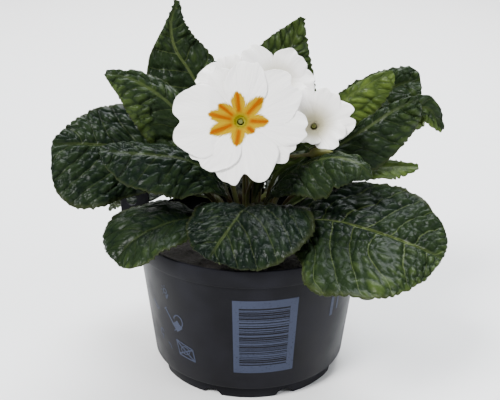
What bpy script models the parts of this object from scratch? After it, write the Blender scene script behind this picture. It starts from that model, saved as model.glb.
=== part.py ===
"""A potted primrose: nursery pot, soil, crown, leaves and white flowers.

The plant stands on its pot's feet at z = 0, the pot's axis is the Z axis and -Y is the front.
Every length below is in millimetres. It becomes metres where a mesh is made.
"""

from dataclasses import dataclass
from math import cos, pi, radians, sin

import bmesh
import bpy
import numpy as np
from mathutils import Matrix, Vector

MM = 0.001
GAP = 0.3

# Pot
POT_SIDES = 32
RIM_TOP = 65.0
RIM_RADIUS = 51.3
BAND_BOTTOM = 57.0
WALL_TOP_RADIUS = 50.0
WALL_BOTTOM = 6.5
WALL_BOTTOM_RADIUS = 44.1
WALL = 1.1
FOOT_RADIUS = 41.2
FOOT_WIDTH = 7.0
FLOOR_TOP = 7.0
FEET = 8
NOTCH_WIDTH = 9.0
DRAIN_RADIUS = 1.8
DRAIN_RING = 30.0

# Label tab moulded on the rim
TAB_AZIMUTH = radians(176.0)
TAB_INNER = 46.0
TAB_OUTER = 59.0
TAB_BOTTOM = 59.0
TAB_TOP = 82.0
TAB_THICKNESS = 1.6
TAB_HOLE = (54.0, 75.0, 2.6)

# Soil and crown
SOIL_TOP = 57.5
SOIL_RELIEF = 1.2
SOIL_SEED = 7
CROWN_CENTRE = 60.0
CROWN_RADIUS = 13.0
CROWN_BOTTOM = 49.0
SOCKET_DEPTH = 2.4
LOW_RING = radians(32.0)
HIGH_RING = radians(57.0)
TOP_RING = 2.7

# Leaves
BLADE = 0.7
COLUMNS = (-1.0, -0.55, 0.0, 0.55, 1.0)
STALK_STATIONS = 4
BLADE_STATIONS = 13
TOOTH = 0.045
PUCKER = 0.45
FACING_AT = (0.1, 0.55, 1.0)

# Flowers
PETAL = 0.65
TUBE_RADIUS = 1.95
TUBE_BORE = 1.25
TUBE_LENGTH = 13.0
TUBE_SIDES = 12
CALYX_RADIUS = 3.2
CALYX_LENGTH = 11.0
STALK_SIDES = 8
PETAL_GRID = (4, 7)
SMALL_PETAL_GRID = (4, 5)
DISC_RADIUS = 4.2
STALK_RADIUS = 0.8
FULL_BLOOM = 8


@dataclass(frozen=True)
class Leaf:
    """One leaf: where it is rooted, the route of its midrib and the form of its blade."""

    name: str
    ring: str
    azimuth: float
    route: tuple
    facing: tuple
    left: float
    right: float
    widest: float = 0.58
    widest_right: float = 0.0
    tip: float = 0.6
    tip_right: float = 0.0
    shoulder: float = 2.2
    fold: float = 8.0
    curl: float = -30.0
    wave: float = 1.0
    stalk: float = 0.14
    taper: float = 1.0
    lobe: float = 0.0


@dataclass(frozen=True)
class Petal:
    """One petal: its direction, its size and how it lies against its neighbours."""

    angle: float
    length: float
    width: float
    notch: float = 0.0
    lift: float = 0.0
    twist: float = 0.0


@dataclass(frozen=True)
class Flower:
    """One flower: its throat, the way that it faces and its petals."""

    name: str
    socket: float
    throat: tuple
    azimuth: float
    elevation: float
    cup: float
    petals: tuple


LEAVES = (
    Leaf("leaf_front", "low", -98,
         ((-1, -15, 78), (-3, -24, 81), (-7, -35, 79), (-12, -45, 75), (-16, -51, 70.5)),
         ((0, -0.1, 1), (-0.12, -0.3, 0.95), (-0.1, -0.6, 0.75)), 33, 20,
         widest=0.45, tip=0.5, taper=0.6, curl=-22),
    Leaf("leaf_front_right", "low", -62,
         ((12, -16, 73.5), (24, -21, 76), (36, -27, 77.5), (48, -36, 77.5), (60, -45, 76.5), (69, -50, 74.5),
          (75, -53, 72.5)),
         ((0, -0.2, 1), (0.1, -0.58, 0.8), (0.35, -0.56, 0.75)), 27, 39,
         widest=0.5, widest_right=0.56, tip=0.5, tip_right=0.46, taper=0.75, lobe=2, curl=-12),
    Leaf("leaf_right_lower", "low", -26,
         ((17, -6, 77), (30, -4.5, 85.5), (45, -3.5, 91.8), (60, -3, 94), (74, -2.5, 94)),
         ((0, -0.2, 1), (0.1, -0.5, 0.85), (0.1, -0.6, 0.8)), 3.5, 8,
         widest=0.8, tip=1.0, shoulder=1.3, taper=2.2, curl=-10),
    Leaf("leaf_right_tip", "low", 10,
         ((18, 3, 76), (32, 3.5, 87.5), (50, 3.5, 101), (66, 5, 113.5), (77.5, 6, 118), (85, 5, 108.5)),
         ((-0.3, -0.4, 1), (-0.4, -0.8, 0.5), (0.7, -0.7, 0.1)), 6.5, 8,
         widest=0.76, tip=0.8, taper=1.8, curl=-25),
    Leaf("leaf_right_back", "low", 44,
         ((14, 15, 76), (26, 21, 92), (42, 26, 107), (58, 27, 118.5), (70, 26, 125), (77.5, 25, 126.5)),
         ((-0.5, -0.4, 1), (-0.3, -0.85, 0.4), (-0.2, -0.8, 0.6)), 11.5, 20,
         tip=0.35, curl=-20),
    Leaf("leaf_rear_right", "low", 80,
         ((8, 17, 74), (17, 32, 77), (25, 46, 76), (32, 58, 69), (36, 65, 58)),
         ((0, 0, 1), (0.2, 0.3, 0.95), (0.4, 0.7, 0.6)), 21, 21, curl=-35),
    Leaf("leaf_rear", "low", 116,
         ((-5, 19, 73), (-10, 34, 75), (-15, 49, 72), (-19, 62, 64), (-22, 73, 54)),
         ((0, 0, 1), (0, 0.35, 0.95), (-0.1, 0.8, 0.6)), 24, 25, curl=-35),
    Leaf("leaf_rear_left", "low", 152,
         ((-15, 12, 73), (-30, 21, 74), (-46, 31, 71), (-60, 40, 65), (-68, 45, 56)),
         ((0, 0, 1), (-0.2, 0.2, 0.95), (-0.6, 0.4, 0.7)), 21, 21, curl=-35),
    Leaf("leaf_left", "low", -172,
         ((-17, -1, 78), (-28, -2, 89), (-42, -4.5, 97.5), (-56, -7, 103), (-70, -10, 105),
          (-84, -12, 105.5)),
         ((0.3, -0.2, 1), (-0.1, -0.75, 0.65), (-0.4, -0.7, 0.6)), 30, 22,
         widest=0.8, widest_right=0.5, tip=0.28, tip_right=0.9, curl=-18),
    Leaf("leaf_front_left", "low", -136,
         ((-15, -15, 74), (-27, -24, 77), (-38, -31, 76), (-48, -37, 72), (-55, -41, 65)),
         ((0, 0, 1), (-0.1, -0.35, 0.9), (-0.6, -0.5, 0.6)), 17, 19,
         widest=0.72, tip=0.32, taper=0.8, curl=-15),
    Leaf("leaf_right_inner", "high", -48,
         ((9, -10, 84), (16, -16, 95), (26, -24, 103), (36, -31, 106.5), (44, -37, 105), (48, -39, 101)),
         ((0, -0.3, 1), (0, -0.4, 0.9), (0.3, -0.6, 0.7)), 12, 16.5,
         tip=0.7, taper=0.7, fold=-18, curl=-40),
    Leaf("leaf_right", "high", -8,
         ((12, -2, 85), (24, -3, 94.5), (37, -4, 103), (50, -5, 112), (61, -6, 120), (70.5, -7, 125)),
         ((-0.4, -0.2, 1), (-0.2, -0.6, 0.75), (0.2, -0.8, 0.5)), 5, 17,
         tip=0.45, fold=-10, curl=-30),
    Leaf("leaf_right_light", "high", 28,
         ((11, 6, 87), (20, 8, 100), (31, 9, 112), (43, 9, 122), (54, 8, 129.5), (61.5, 6, 133.5)),
         ((-0.5, -0.2, 1), (0, -0.9, 0.4), (0.1, -0.9, 0.4)), 4, 14.5,
         tip=0.6, fold=-12, curl=-4),
    Leaf("leaf_back_right", "high", 64,
         ((5, 13, 88), (7, 19, 105), (10, 23, 121), (15, 26, 135), (20, 28, 146), (23, 28, 154)),
         ((-0.3, -0.8, 0.6), (0, -0.95, 0.3), (0.1, -0.9, 0.4)), 18, 22,
         widest=0.42, tip=1.0, tip_right=1.5, taper=1.6, curl=-12),
    Leaf("leaf_back", "high", 100,
         ((-1, 15, 86), (-3, 28, 97), (-5, 41, 104), (-7, 54, 104), (-9, 63, 98)),
         ((0, -0.5, 1), (0, 0.1, 1), (0, 0.7, 0.8)), 18, 18, curl=-30),
    Leaf("leaf_back_left", "high", 136,
         ((-10, 13, 88), (-15, 19, 104), (-21, 24, 117), (-28, 27, 129), (-35, 29, 140), (-36.5, 29, 151),
          (-33.5, 29, 161)),
         ((0.3, -0.8, 0.6), (0.1, -0.95, 0.3), (0.1, -0.95, 0.3)), 31, 13,
         widest=0.42, tip=4.4, tip_right=1.0, shoulder=3.0, taper=1.3, curl=-10),
    Leaf("leaf_left_upper", "high", 172,
         ((-13, 0, 87), (-20, -3, 102), (-29, -5, 116), (-39, -5, 125.5), (-50, -5, 132), (-61, -5, 135)),
         ((0.4, -0.3, 1), (-0.2, -0.65, 0.7), (-0.4, -0.6, 0.7)), 19, 9,
         widest=0.5, tip=0.9, fold=-12, curl=-25),
    Leaf("leaf_left_inner", "high", -152,
         ((-11, -8, 84), (-18, -14, 95), (-28, -20, 102), (-40, -26, 105.5), (-51, -30, 107.5),
          (-60, -32, 109)),
         ((0.2, -0.3, 1), (0, -0.55, 0.85), (-0.2, -0.6, 0.8)), 18, 13,
         tip=0.7, taper=0.7, fold=-12, curl=-30),
    Leaf("leaf_young", "top", -60,
         ((3, -4, 84), (8, -5.5, 95), (16, -8, 101.5), (25, -9, 103.5)),
         ((-0.3, -0.5, 0.8), (0, -0.7, 0.7), (0.2, -0.7, 0.7)), 5, 5,
         tip=0.8, curl=-10, wave=0.4),
)

FLOWERS = (
    Flower("flower_front", 180, (-4, -30, 121), 0, 28, 1.5, (
        Petal(183, 27.5, 31, 0.15, 2.4, 0),
        Petal(227, 24.5, 22, 0.04, 1.4, 3),
        Petal(275, 26, 29, 0.17, 0.4, 0),
        Petal(326, 24.5, 18, 0.04, -1.4, 0),
        Petal(353, 27, 18, 0.04, -0.2, 4),
        Petal(36, 27, 24, 0.08, 0.8, 4),
        Petal(82, 24, 18, 0.04, 1.8, 0),
        Petal(130, 23, 25, 0.12, 0.2, -3),
    )),
    Flower("flower_back_right", 60, (11, -1, 131.5), 20, 42, 4.0, (
        Petal(345, 16.5, 16, 0.06, 0.0, 5),
        Petal(39, 15.5, 17, 0.06, 1.2, 5),
        Petal(128, 18.5, 17, 0.05, 0.4, 5),
        Petal(190, 11, 12, 0.08, 1.2, 5),
        Petal(245, 12, 12, 0.08, 0.4, 5),
        Petal(300, 15, 15, 0.08, 1.2, 5),
    )),
    Flower("flower_right", 0, (26, -16, 116), -12, 35, 4.0, (
        Petal(13, 17.5, 18, 0.13, 0.4, 5),
        Petal(64, 15.5, 15, 0.06, 1.2, 5),
        Petal(118, 16, 15, 0.06, 0.4, 5),
        Petal(178, 14, 13, 0.08, 1.2, 5),
        Petal(262, 9.5, 13, 0.06, 0.4, 5),
        Petal(328, 15, 15, 0.10, 1.2, 5),
    )),
    Flower("flower_back_left", 120, (-8, 2, 129), -35, 50, 3.0, (
        Petal(20, 11, 12, 0.06, 0.4, 5),
        Petal(70, 13, 14, 0.06, 1.2, 5),
        Petal(122, 14.5, 15, 0.06, 2.0, 5),
        Petal(172, 18.5, 18, 0.04, 0.4, 5),
        Petal(235, 12, 13, 0.08, 1.2, 5),
        Petal(300, 10, 11, 0.08, 0.8, 5),
    )),
)

BUD_SOCKET = 240
BUD_ROUTE = ((-1, -4.5, 82), (4, -9, 93), (14, -13, 100.5), (27, -14, 102.5))
BUD_RADIUS = 2.2
BUD_LENGTH = 8.0


def material(name, colour, roughness, metallic=0.0):
    """Make a Principled material of one colour."""
    made = bpy.data.materials.new(name)
    made.use_nodes = True
    shader = made.node_tree.nodes["Principled BSDF"]
    shader.inputs["Base Color"].default_value = (*colour, 1.0)
    shader.inputs["Roughness"].default_value = roughness
    shader.inputs["Metallic"].default_value = metallic
    return made


def object_from(name, shape, finish):
    """Turn a bmesh in millimetres into an object in metres."""
    bmesh.ops.scale(shape, vec=(MM, MM, MM), verts=shape.verts)
    mesh = bpy.data.meshes.new(name)
    shape.to_mesh(mesh)
    shape.free()
    made = bpy.data.objects.new(name, mesh)
    made.data.materials.append(finish)
    bpy.context.scene.collection.objects.link(made)
    return made


def apply_modifiers(made):
    """Replace an object's mesh by the mesh that its modifiers give."""
    graph = bpy.context.evaluated_depsgraph_get()
    result = bpy.data.meshes.new_from_object(made.evaluated_get(graph))
    made.modifiers.clear()
    made.data = result


def boolean(made, operation, tools):
    """Join the tools to an object or cut them from it, then remove them."""
    group = bpy.data.collections.new("tools")
    bpy.context.scene.collection.children.link(group)
    for tool in tools:
        bpy.context.scene.collection.objects.unlink(tool)
        group.objects.link(tool)
    cut = made.modifiers.new("cut", "BOOLEAN")
    cut.operation = operation
    cut.operand_type = "COLLECTION"
    cut.collection = group
    apply_modifiers(made)
    for tool in tools:
        bpy.data.objects.remove(tool)
    bpy.data.collections.remove(group)


def turned(profile, sides, closed=False):
    """Spin a profile of (radius, height) points, listed up the outside, into a closed solid."""
    shape = bmesh.new()
    ring = [shape.verts.new((radius, 0, height)) for radius, height in profile]
    pairs = list(zip(ring, ring[1:] + ring[:1] if closed else ring[1:]))
    edges = [shape.edges.new(pair) for pair in pairs]
    bmesh.ops.spin(shape, geom=ring + edges, axis=(0, 0, 1), cent=(0, 0, 0), steps=sides, angle=2 * pi,
                   use_merge=True)
    bmesh.ops.remove_doubles(shape, verts=shape.verts, dist=1e-4)
    bmesh.ops.recalc_face_normals(shape, faces=shape.faces)
    return shape


def cylinder(radius, length, sides, start, direction):
    """Make a cylinder that starts at a point and runs along a direction."""
    shape = bmesh.new()
    bmesh.ops.create_cone(shape, cap_ends=True, segments=sides, radius1=radius, radius2=radius, depth=length)
    turn = Vector(direction).to_track_quat("Z", "Y").to_matrix().to_4x4()
    place = Matrix.Translation(Vector(start)) @ turn @ Matrix.Translation((0, 0, length / 2))
    bmesh.ops.transform(shape, matrix=place, verts=shape.verts)
    return shape


def unit(vector):
    """Give a vector the length 1."""
    vector = np.asarray(vector, float)
    return vector / np.linalg.norm(vector, axis=-1, keepdims=True)


def smooth_route(points, samples=240):
    """Sample a smooth curve through some points, evenly by length."""
    points = np.asarray(points, float)
    points = np.vstack([2 * points[0] - points[1], points, 2 * points[-1] - points[-2]])
    knots = np.concatenate([[0], np.cumsum(np.linalg.norm(np.diff(points, axis=0), axis=1) ** 0.5)])
    curve = []
    for i in range(1, len(points) - 2):
        t0, t1, t2, t3 = knots[i - 1:i + 3]
        p0, p1, p2, p3 = points[i - 1:i + 3]
        t = np.linspace(t1, t2, 40, endpoint=False)[:, None]
        a1 = (t1 - t) / (t1 - t0) * p0 + (t - t0) / (t1 - t0) * p1
        a2 = (t2 - t) / (t2 - t1) * p1 + (t - t1) / (t2 - t1) * p2
        a3 = (t3 - t) / (t3 - t2) * p2 + (t - t2) / (t3 - t2) * p3
        b1 = (t2 - t) / (t2 - t0) * a1 + (t - t0) / (t2 - t0) * a2
        b2 = (t3 - t) / (t3 - t1) * a2 + (t - t1) / (t3 - t1) * a3
        curve.append((t2 - t) / (t2 - t1) * b1 + (t - t1) / (t2 - t1) * b2)
    curve = np.vstack(curve + [points[-2:-1]])
    steps = np.linalg.norm(np.diff(curve, axis=0), axis=1)
    along = np.concatenate([[0], np.cumsum(steps)])
    even = np.linspace(0, along[-1], samples)
    return np.stack([np.interp(even, along, curve[:, axis]) for axis in range(3)], axis=1)


def between(t, known, rows):
    """Read a table of vectors at the places t, from its rows at the known places."""
    return np.stack([np.interp(t, known, rows[:, axis]) for axis in range(3)], axis=1)


def socket(ring, azimuth):
    """Give the bottom of a socket in the crown and the direction of its axis."""
    centre = np.array((0, 0, CROWN_CENTRE))
    azimuth = radians(azimuth)
    if ring == "top":
        top = CROWN_CENTRE + CROWN_RADIUS - 3.2
        return np.array((TOP_RING * cos(azimuth), TOP_RING * sin(azimuth), top)), np.array((0, 0, 1.0))
    rise = LOW_RING if ring == "low" else HIGH_RING
    way = np.array((cos(azimuth) * cos(rise), sin(azimuth) * cos(rise), sin(rise)))
    return centre + way * (CROWN_RADIUS - SOCKET_DEPTH), way


def stem_radius(ring):
    """Give the half width of a leaf's stalk where it enters the crown."""
    return {"low": 1.3, "high": 1.1, "top": 0.7}[ring]


def blade_outline(q, columns, leaf):
    """Give a blade's half width as a share of its largest, along the blade from 0 to 1, on each side."""
    widest = np.where(columns < 0, leaf.widest, leaf.widest_right or leaf.widest)
    tip = np.where(columns < 0, leaf.tip, leaf.tip_right or leaf.tip)
    rise = np.clip(q / widest, 0, 1) ** leaf.taper
    fall = np.clip((q - widest) / (1 - widest), 0, 1)
    return (0.3 * rise + 0.7 * rise ** 2 * (3 - 2 * rise)) * np.clip(1 - fall ** leaf.shoulder, 0, 1) ** tip


def leaf_grid(leaf):
    """Place a leaf's grid of points, with its thickness at each."""
    bottom, way = socket(leaf.ring, leaf.azimuth)
    start = bottom + way * GAP
    mouth = bottom + way * SOCKET_DEPTH
    route = smooth_route([start, mouth, mouth + way * 2.2, *leaf.route])
    stalk = np.linspace(0, leaf.stalk, STALK_STATIONS, endpoint=False)
    blade = leaf.stalk + (1 - leaf.stalk) * np.sin(np.linspace(0, 1, BLADE_STATIONS) * pi / 2) ** 0.95
    stalk[1] = SOCKET_DEPTH / np.linalg.norm(np.diff(route, axis=0), axis=1).sum()
    t = np.concatenate([stalk, blade])
    even = np.linspace(0, 1, len(route))
    middle = between(t, even, route)
    along = unit(between(t, even, unit(np.gradient(route, axis=0))))
    facing = unit(between(t, FACING_AT, unit(leaf.facing)))
    up = unit(facing - (facing * along).sum(1, keepdims=True) * along)
    side = np.cross(along, up)
    q = np.clip((t - leaf.stalk) / (1 - leaf.stalk), 0, 1)
    station = np.arange(len(t)) - STALK_STATIONS
    toothed = 1 + TOOTH * np.where(station % 2 == 1, 1, -0.8) * (q > 0.12) * (q < 0.99)
    root = stem_radius(leaf.ring)
    columns = np.asarray(COLUMNS)
    size = np.where(columns < 0, leaf.left, leaf.right)[None, :]
    outline = blade_outline(q[:, None], columns[None, :], leaf)
    width = root + (size - root) * outline * toothed[:, None]
    width = np.maximum(width, np.where(q > 0.5, 0.8, root)[:, None])
    fold = radians(leaf.fold) * np.minimum(q * 3, 1)[:, None]
    bend = radians(leaf.curl) * np.minimum(q * 2, 1)[:, None] - 1e-6
    reach = np.abs(columns)[None, :]
    across = width * (np.sin(fold + bend * reach) - np.sin(fold)) / bend * np.sign(columns)[None, :]
    height = width * (np.cos(fold) - np.cos(fold + bend * reach)) / bend
    wave = leaf.wave * np.sin(2 * pi * (2.3 * q[:, None] + 0.37 * columns[None, :]))
    height += wave * reach ** 3 * np.minimum(q * 3, 1)[:, None] * (1 - q[:, None] ** 6)
    ridges = np.where(station % 2 == 1, 1, -1) * np.sin(pi * q)
    height += PUCKER * ridges[:, None] * np.sin(pi * reach)
    back = leaf.lobe * reach ** 2 * np.sin(pi * np.clip(q / 0.4, 0, 1))[:, None] ** 2
    points = middle[:, None, :] + across[..., None] * side[:, None, :] + height[..., None] * up[:, None, :]
    points = points - back[..., None] * along[:, None, :]
    rib = (2 * root - BLADE) * (1 - t) ** 1.2
    spread = np.where(q > 0, 0.28, 1.0)
    thick = BLADE + rib[:, None] * np.clip(1 - (reach / spread[:, None]) ** 2, 0, 1) ** 0.7
    thick[:, [0, -1]] = BLADE
    return points, thick


def sheet(name, points, thick, finish):
    """Make a closed blade from a grid of points and the thickness at each."""
    rows, columns, _ = points.shape
    shape = bmesh.new()
    bmesh.ops.create_grid(shape, x_segments=columns - 1, y_segments=rows - 1, size=1)
    shape.verts.ensure_lookup_table()
    weights = shape.verts.layers.deform.verify()
    largest = float(thick.max())
    for index, vertex in enumerate(shape.verts):
        row, column = divmod(index, columns)
        vertex.co = points[row, column]
        vertex[weights][0] = float(thick[row, column]) / largest
    bmesh.ops.triangulate(shape, faces=shape.faces)
    made = object_from(name, shape, finish)
    made.vertex_groups.new(name="thickness")
    solid = made.modifiers.new("thickness", "SOLIDIFY")
    solid.thickness = largest * MM
    solid.offset = 0
    solid.vertex_group = "thickness"
    return made


def make_leaf(leaf, finish):
    """Make one leaf with its stalk."""
    points, thick = leaf_grid(leaf)
    return sheet(leaf.name, points, thick, finish)


def flower_axes(flower):
    """Give a flower's right, up and facing directions."""
    azimuth, elevation = radians(flower.azimuth), radians(flower.elevation)
    facing = np.array((sin(azimuth) * cos(elevation), -cos(azimuth) * cos(elevation), sin(elevation)))
    right = unit(np.cross((0, 0, 1), facing))
    return right, np.cross(facing, right), facing


def petal_grid(flower, petal):
    """Place one petal's grid of points."""
    rows, columns = PETAL_GRID if len(flower.petals) >= FULL_BLOOM else SMALL_PETAL_GRID
    s = np.linspace(0, 1, rows)[:, None]
    v = np.linspace(-1, 1, columns)[None, :]
    edge = 1 - 0.30 * v ** 4 - petal.notch * np.exp(-(v / 0.28) ** 2)
    inner = 2.1
    out = inner + (petal.length * edge - inner) * s
    width = petal.width / 2 * (0.16 + 0.84 * np.sin(np.minimum(s * 1.25, 1) * pi / 2) ** 0.9)
    aside = v * width * (1 - 0.16 * s ** 6)
    free = np.clip((out - DISC_RADIUS) / (petal.length - DISC_RADIUS), 0, 1)
    height = -0.55 - 0.6 * np.clip(DISC_RADIUS - out, 0, None)
    height = height + flower.cup * free ** 1.3 - 1.0 * free ** 5
    height = height + petal.lift * np.clip(free * 3, 0, 1) + np.tan(radians(petal.twist)) * aside * free
    height = height + 0.3 * np.cos(v * 2.5 * pi) * s ** 2 + petal.angle * 0.0003
    right, up, facing = flower_axes(flower)
    angle = radians(petal.angle)
    ahead = right * cos(angle) + up * sin(angle)
    beside = -right * sin(angle) + up * cos(angle)
    points = (np.array(flower.throat) + out[..., None] * ahead + aside[..., None] * beside
              + height[..., None] * facing)
    return points


def place_on_axis(shape, flower):
    """Turn a shape made along +Z onto a flower's axis, with its throat at the shape's origin."""
    right, up, facing = flower_axes(flower)
    turn = Matrix((right, up, facing)).transposed().to_4x4()
    bmesh.ops.transform(shape, matrix=Matrix.Translation(flower.throat) @ turn, verts=shape.verts)


def make_corolla(flower, finish):
    """Make a flower's petals and tube as one body."""
    profile = ((TUBE_BORE, -TUBE_LENGTH), (TUBE_RADIUS, -TUBE_LENGTH), (TUBE_RADIUS, -3.5), (2.6, -2.3),
               (DISC_RADIUS, -1.1), (DISC_RADIUS, -0.4), (2.4, -1.3), (TUBE_BORE, -2.8))
    tube = turned(profile, TUBE_SIDES, closed=True)
    place_on_axis(tube, flower)
    made = object_from(flower.name + "_petals", tube, finish)
    petals = []
    for index, petal in enumerate(flower.petals):
        points = petal_grid(flower, petal)
        petals.append(sheet(f"petal_{index}", points, np.full(points.shape[:2], PETAL), finish))
    boolean(made, "UNION", petals)
    return made


def rings_to_solid(rings):
    """Bridge rings of points, one after another, and cap both ends."""
    shape = bmesh.new()
    loops = [[shape.verts.new(point) for point in ring] for ring in rings]
    count = len(loops[0])
    for lower, upper in zip(loops, loops[1:]):
        for i in range(count):
            j = (i + 1) % count
            shape.faces.new((lower[i], lower[j], upper[j], upper[i]))
    shape.faces.new(loops[0][::-1])
    shape.faces.new(loops[-1])
    bmesh.ops.triangulate(shape, faces=shape.faces)
    bmesh.ops.recalc_face_normals(shape, faces=shape.faces)
    return shape


def ring_points(centre, along, radius, guide, sides=STALK_SIDES):
    """Place one ring of points round a centre, each with its own radius and height."""
    along = unit(along)
    first = unit(guide - np.dot(guide, along) * along)
    second = np.cross(along, first)
    angles = np.arange(sides) * 2 * pi / sides
    return centre + radius * (np.cos(angles)[:, None] * first + np.sin(angles)[:, None] * second)


def make_flower_stalk(flower, finish):
    """Make a flower's stalk, calyx, style and stigma as one body."""
    right, _, facing = flower_axes(flower)
    throat = np.array(flower.throat, float)
    foot, way = socket("top", flower.socket)
    base = throat - facing * (TUBE_LENGTH + 2.0)
    route = smooth_route([foot + way * GAP, foot + way * 5, foot + way * 14 + (base - foot) * 0.12,
                          base - facing * 5 - np.array((0, 0, 2.0)), base], 60)
    picks = np.linspace(0, 59, 9).round().astype(int)
    along = np.gradient(route, axis=0)
    rings = [ring_points(route[i], along[i], STALK_RADIUS, right) for i in picks[:-1]]
    teeth = np.where(np.arange(STALK_SIDES) % 2, 1.6, -0.8)[:, None] * facing

    def on_axis(height, radius):
        return ring_points(throat + facing * height, facing, radius, right)

    floor = -TUBE_LENGTH - GAP
    top = floor + CALYX_LENGTH - 2.5
    bore = TUBE_RADIUS + GAP + 0.1
    rings += [on_axis(floor - 1.6, STALK_RADIUS + 0.2), on_axis(floor - 0.6, CALYX_RADIUS - 0.7),
              on_axis(floor + 3, CALYX_RADIUS), on_axis(top, CALYX_RADIUS) + teeth,
              on_axis(top, bore + 0.2) + teeth, on_axis(floor, bore), on_axis(floor, 0.5), on_axis(-3.4, 0.5),
              on_axis(-2.9, 0.8), on_axis(-2.2, 0.8), on_axis(-1.9, 0.45)]
    return object_from(flower.name + "_stalk", rings_to_solid(rings), finish)


def make_bud(finish):
    """Make the closed bud on its stalk."""
    foot, way = socket("top", BUD_SOCKET)
    route = smooth_route([foot + way * GAP, foot + way * 5, *BUD_ROUTE], 60)
    along = np.gradient(route, axis=0)
    guide = np.array((1.0, 0, 0))
    rings = [ring_points(route[i], along[i], STALK_RADIUS * 0.9, guide) for i in (0, 6, 14, 24, 34, 44, 52)]
    tip, ahead = route[-1], unit(along[-1])
    for height, radius in ((-2.0, 0.9), (0.0, 1.7), (2.5, BUD_RADIUS), (5.0, 1.7), (BUD_LENGTH, 0.4)):
        rings.append(ring_points(tip + ahead * height, ahead, radius, guide))
    return object_from("bud", rings_to_solid(rings), finish)


def make_pot(finish):
    """Make the pot: a tapered wall under a stepped rim, a floor, notched feet and a label tab."""
    inner = WALL_BOTTOM_RADIUS - WALL
    profile = (
        (FOOT_RADIUS - FOOT_WIDTH, 0), (FOOT_RADIUS - 0.5, 0), (FOOT_RADIUS, 0.8),
        (FOOT_RADIUS, WALL_BOTTOM - 0.9), (WALL_BOTTOM_RADIUS - 0.6, WALL_BOTTOM - 0.4),
        (WALL_BOTTOM_RADIUS, WALL_BOTTOM), (WALL_TOP_RADIUS, BAND_BOTTOM),
        (RIM_RADIUS, BAND_BOTTOM + 0.8), (RIM_RADIUS, RIM_TOP - 0.5), (RIM_RADIUS - 0.4, RIM_TOP),
        (RIM_RADIUS - WALL, RIM_TOP), (RIM_RADIUS - WALL - 0.3, BAND_BOTTOM + 1.0),
        (WALL_TOP_RADIUS - WALL, BAND_BOTTOM - 1.0), (inner, FLOOR_TOP), (0, FLOOR_TOP), (0, FLOOR_TOP - 1.5),
        (FOOT_RADIUS - FOOT_WIDTH, FLOOR_TOP - 1.5),
    )
    pot = object_from("pot", turned(profile, POT_SIDES, closed=True), finish)
    boolean(pot, "UNION", [make_tab(finish)])
    cutters = []
    for index in range(FEET):
        angle = 2 * pi * (index + 0.5) / FEET - pi / 2
        way = (cos(angle), sin(angle), 0)
        start = (way[0] * 30, way[1] * 30, -1.6)
        cutters.append(object_from(f"notch_{index}", cylinder(NOTCH_WIDTH / 2, 20, 8, start, way), finish))
        hole = (way[0] * DRAIN_RING, way[1] * DRAIN_RING, 0)
        cutters.append(object_from(f"drain_{index}", cylinder(DRAIN_RADIUS, 12, 8, hole, (0, 0, 1)), finish))
    boolean(pot, "DIFFERENCE", cutters)
    return pot


def make_tab(finish):
    """Make the label tab, an upright plate on the rim with a hole."""
    outline = ((TAB_INNER + 4.2, TAB_BOTTOM), (TAB_OUTER - 5, TAB_BOTTOM + 1), (TAB_OUTER, TAB_BOTTOM + 9),
               (TAB_OUTER, TAB_TOP - 2), (TAB_OUTER - 2, TAB_TOP), (TAB_INNER + 3, TAB_TOP),
               (TAB_INNER, TAB_TOP - 3), (TAB_INNER, RIM_TOP + 1.5), (TAB_INNER + 4.2, RIM_TOP + 0.6))
    shape = bmesh.new()
    face = shape.faces.new([shape.verts.new((x, -TAB_THICKNESS / 2, z)) for x, z in outline])
    side = bmesh.ops.extrude_face_region(shape, geom=[face])
    moved = [item for item in side["geom"] if isinstance(item, bmesh.types.BMVert)]
    bmesh.ops.translate(shape, vec=(0, TAB_THICKNESS, 0), verts=moved)
    bmesh.ops.recalc_face_normals(shape, faces=shape.faces)
    bmesh.ops.rotate(shape, cent=(0, 0, 0), matrix=Matrix.Rotation(TAB_AZIMUTH, 3, "Z"), verts=shape.verts)
    tab = object_from("tab", shape, finish)
    reach, height, radius = TAB_HOLE
    way = Vector((0, 1, 0))
    way.rotate(Matrix.Rotation(TAB_AZIMUTH, 3, "Z"))
    centre = Vector((reach, 0, height))
    centre.rotate(Matrix.Rotation(TAB_AZIMUTH, 3, "Z"))
    drill = object_from("drill", cylinder(radius, 8, 12, centre - way * 4, way), finish)
    boolean(tab, "DIFFERENCE", [drill])
    return tab


def make_soil(finish):
    """Make the soil, uneven on top, with a well that the crown stands in."""
    draw = np.random.default_rng(SOIL_SEED)
    rings = (CROWN_RADIUS + GAP + 0.4, 20, 28, 36, 43, WALL_TOP_RADIUS - WALL - GAP - 0.3)
    taper = (WALL_TOP_RADIUS - WALL_BOTTOM_RADIUS) / (BAND_BOTTOM - WALL_BOTTOM)
    floor = FLOOR_TOP + GAP
    foot_radius = WALL_BOTTOM_RADIUS - WALL - GAP - 0.2
    edge = foot_radius + taper * (SOIL_TOP - floor)
    profile = [(0, floor), (foot_radius, floor), (edge, SOIL_TOP - 1.0)]
    profile += [(radius, SOIL_TOP) for radius in rings[-2::-1]]
    profile += [(rings[0], CROWN_BOTTOM - GAP), (0, CROWN_BOTTOM - GAP)]
    shape = turned(profile, POT_SIDES)
    for vertex in shape.verts:
        radius = Vector(vertex.co.xy).length
        if vertex.co.z > SOIL_TOP - 0.5 and radius < edge - 1:
            vertex.co.z += SOIL_RELIEF * float(draw.uniform(-1, 1))
    bmesh.ops.triangulate(shape, faces=shape.faces)
    return object_from("soil", shape, finish)


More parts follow.
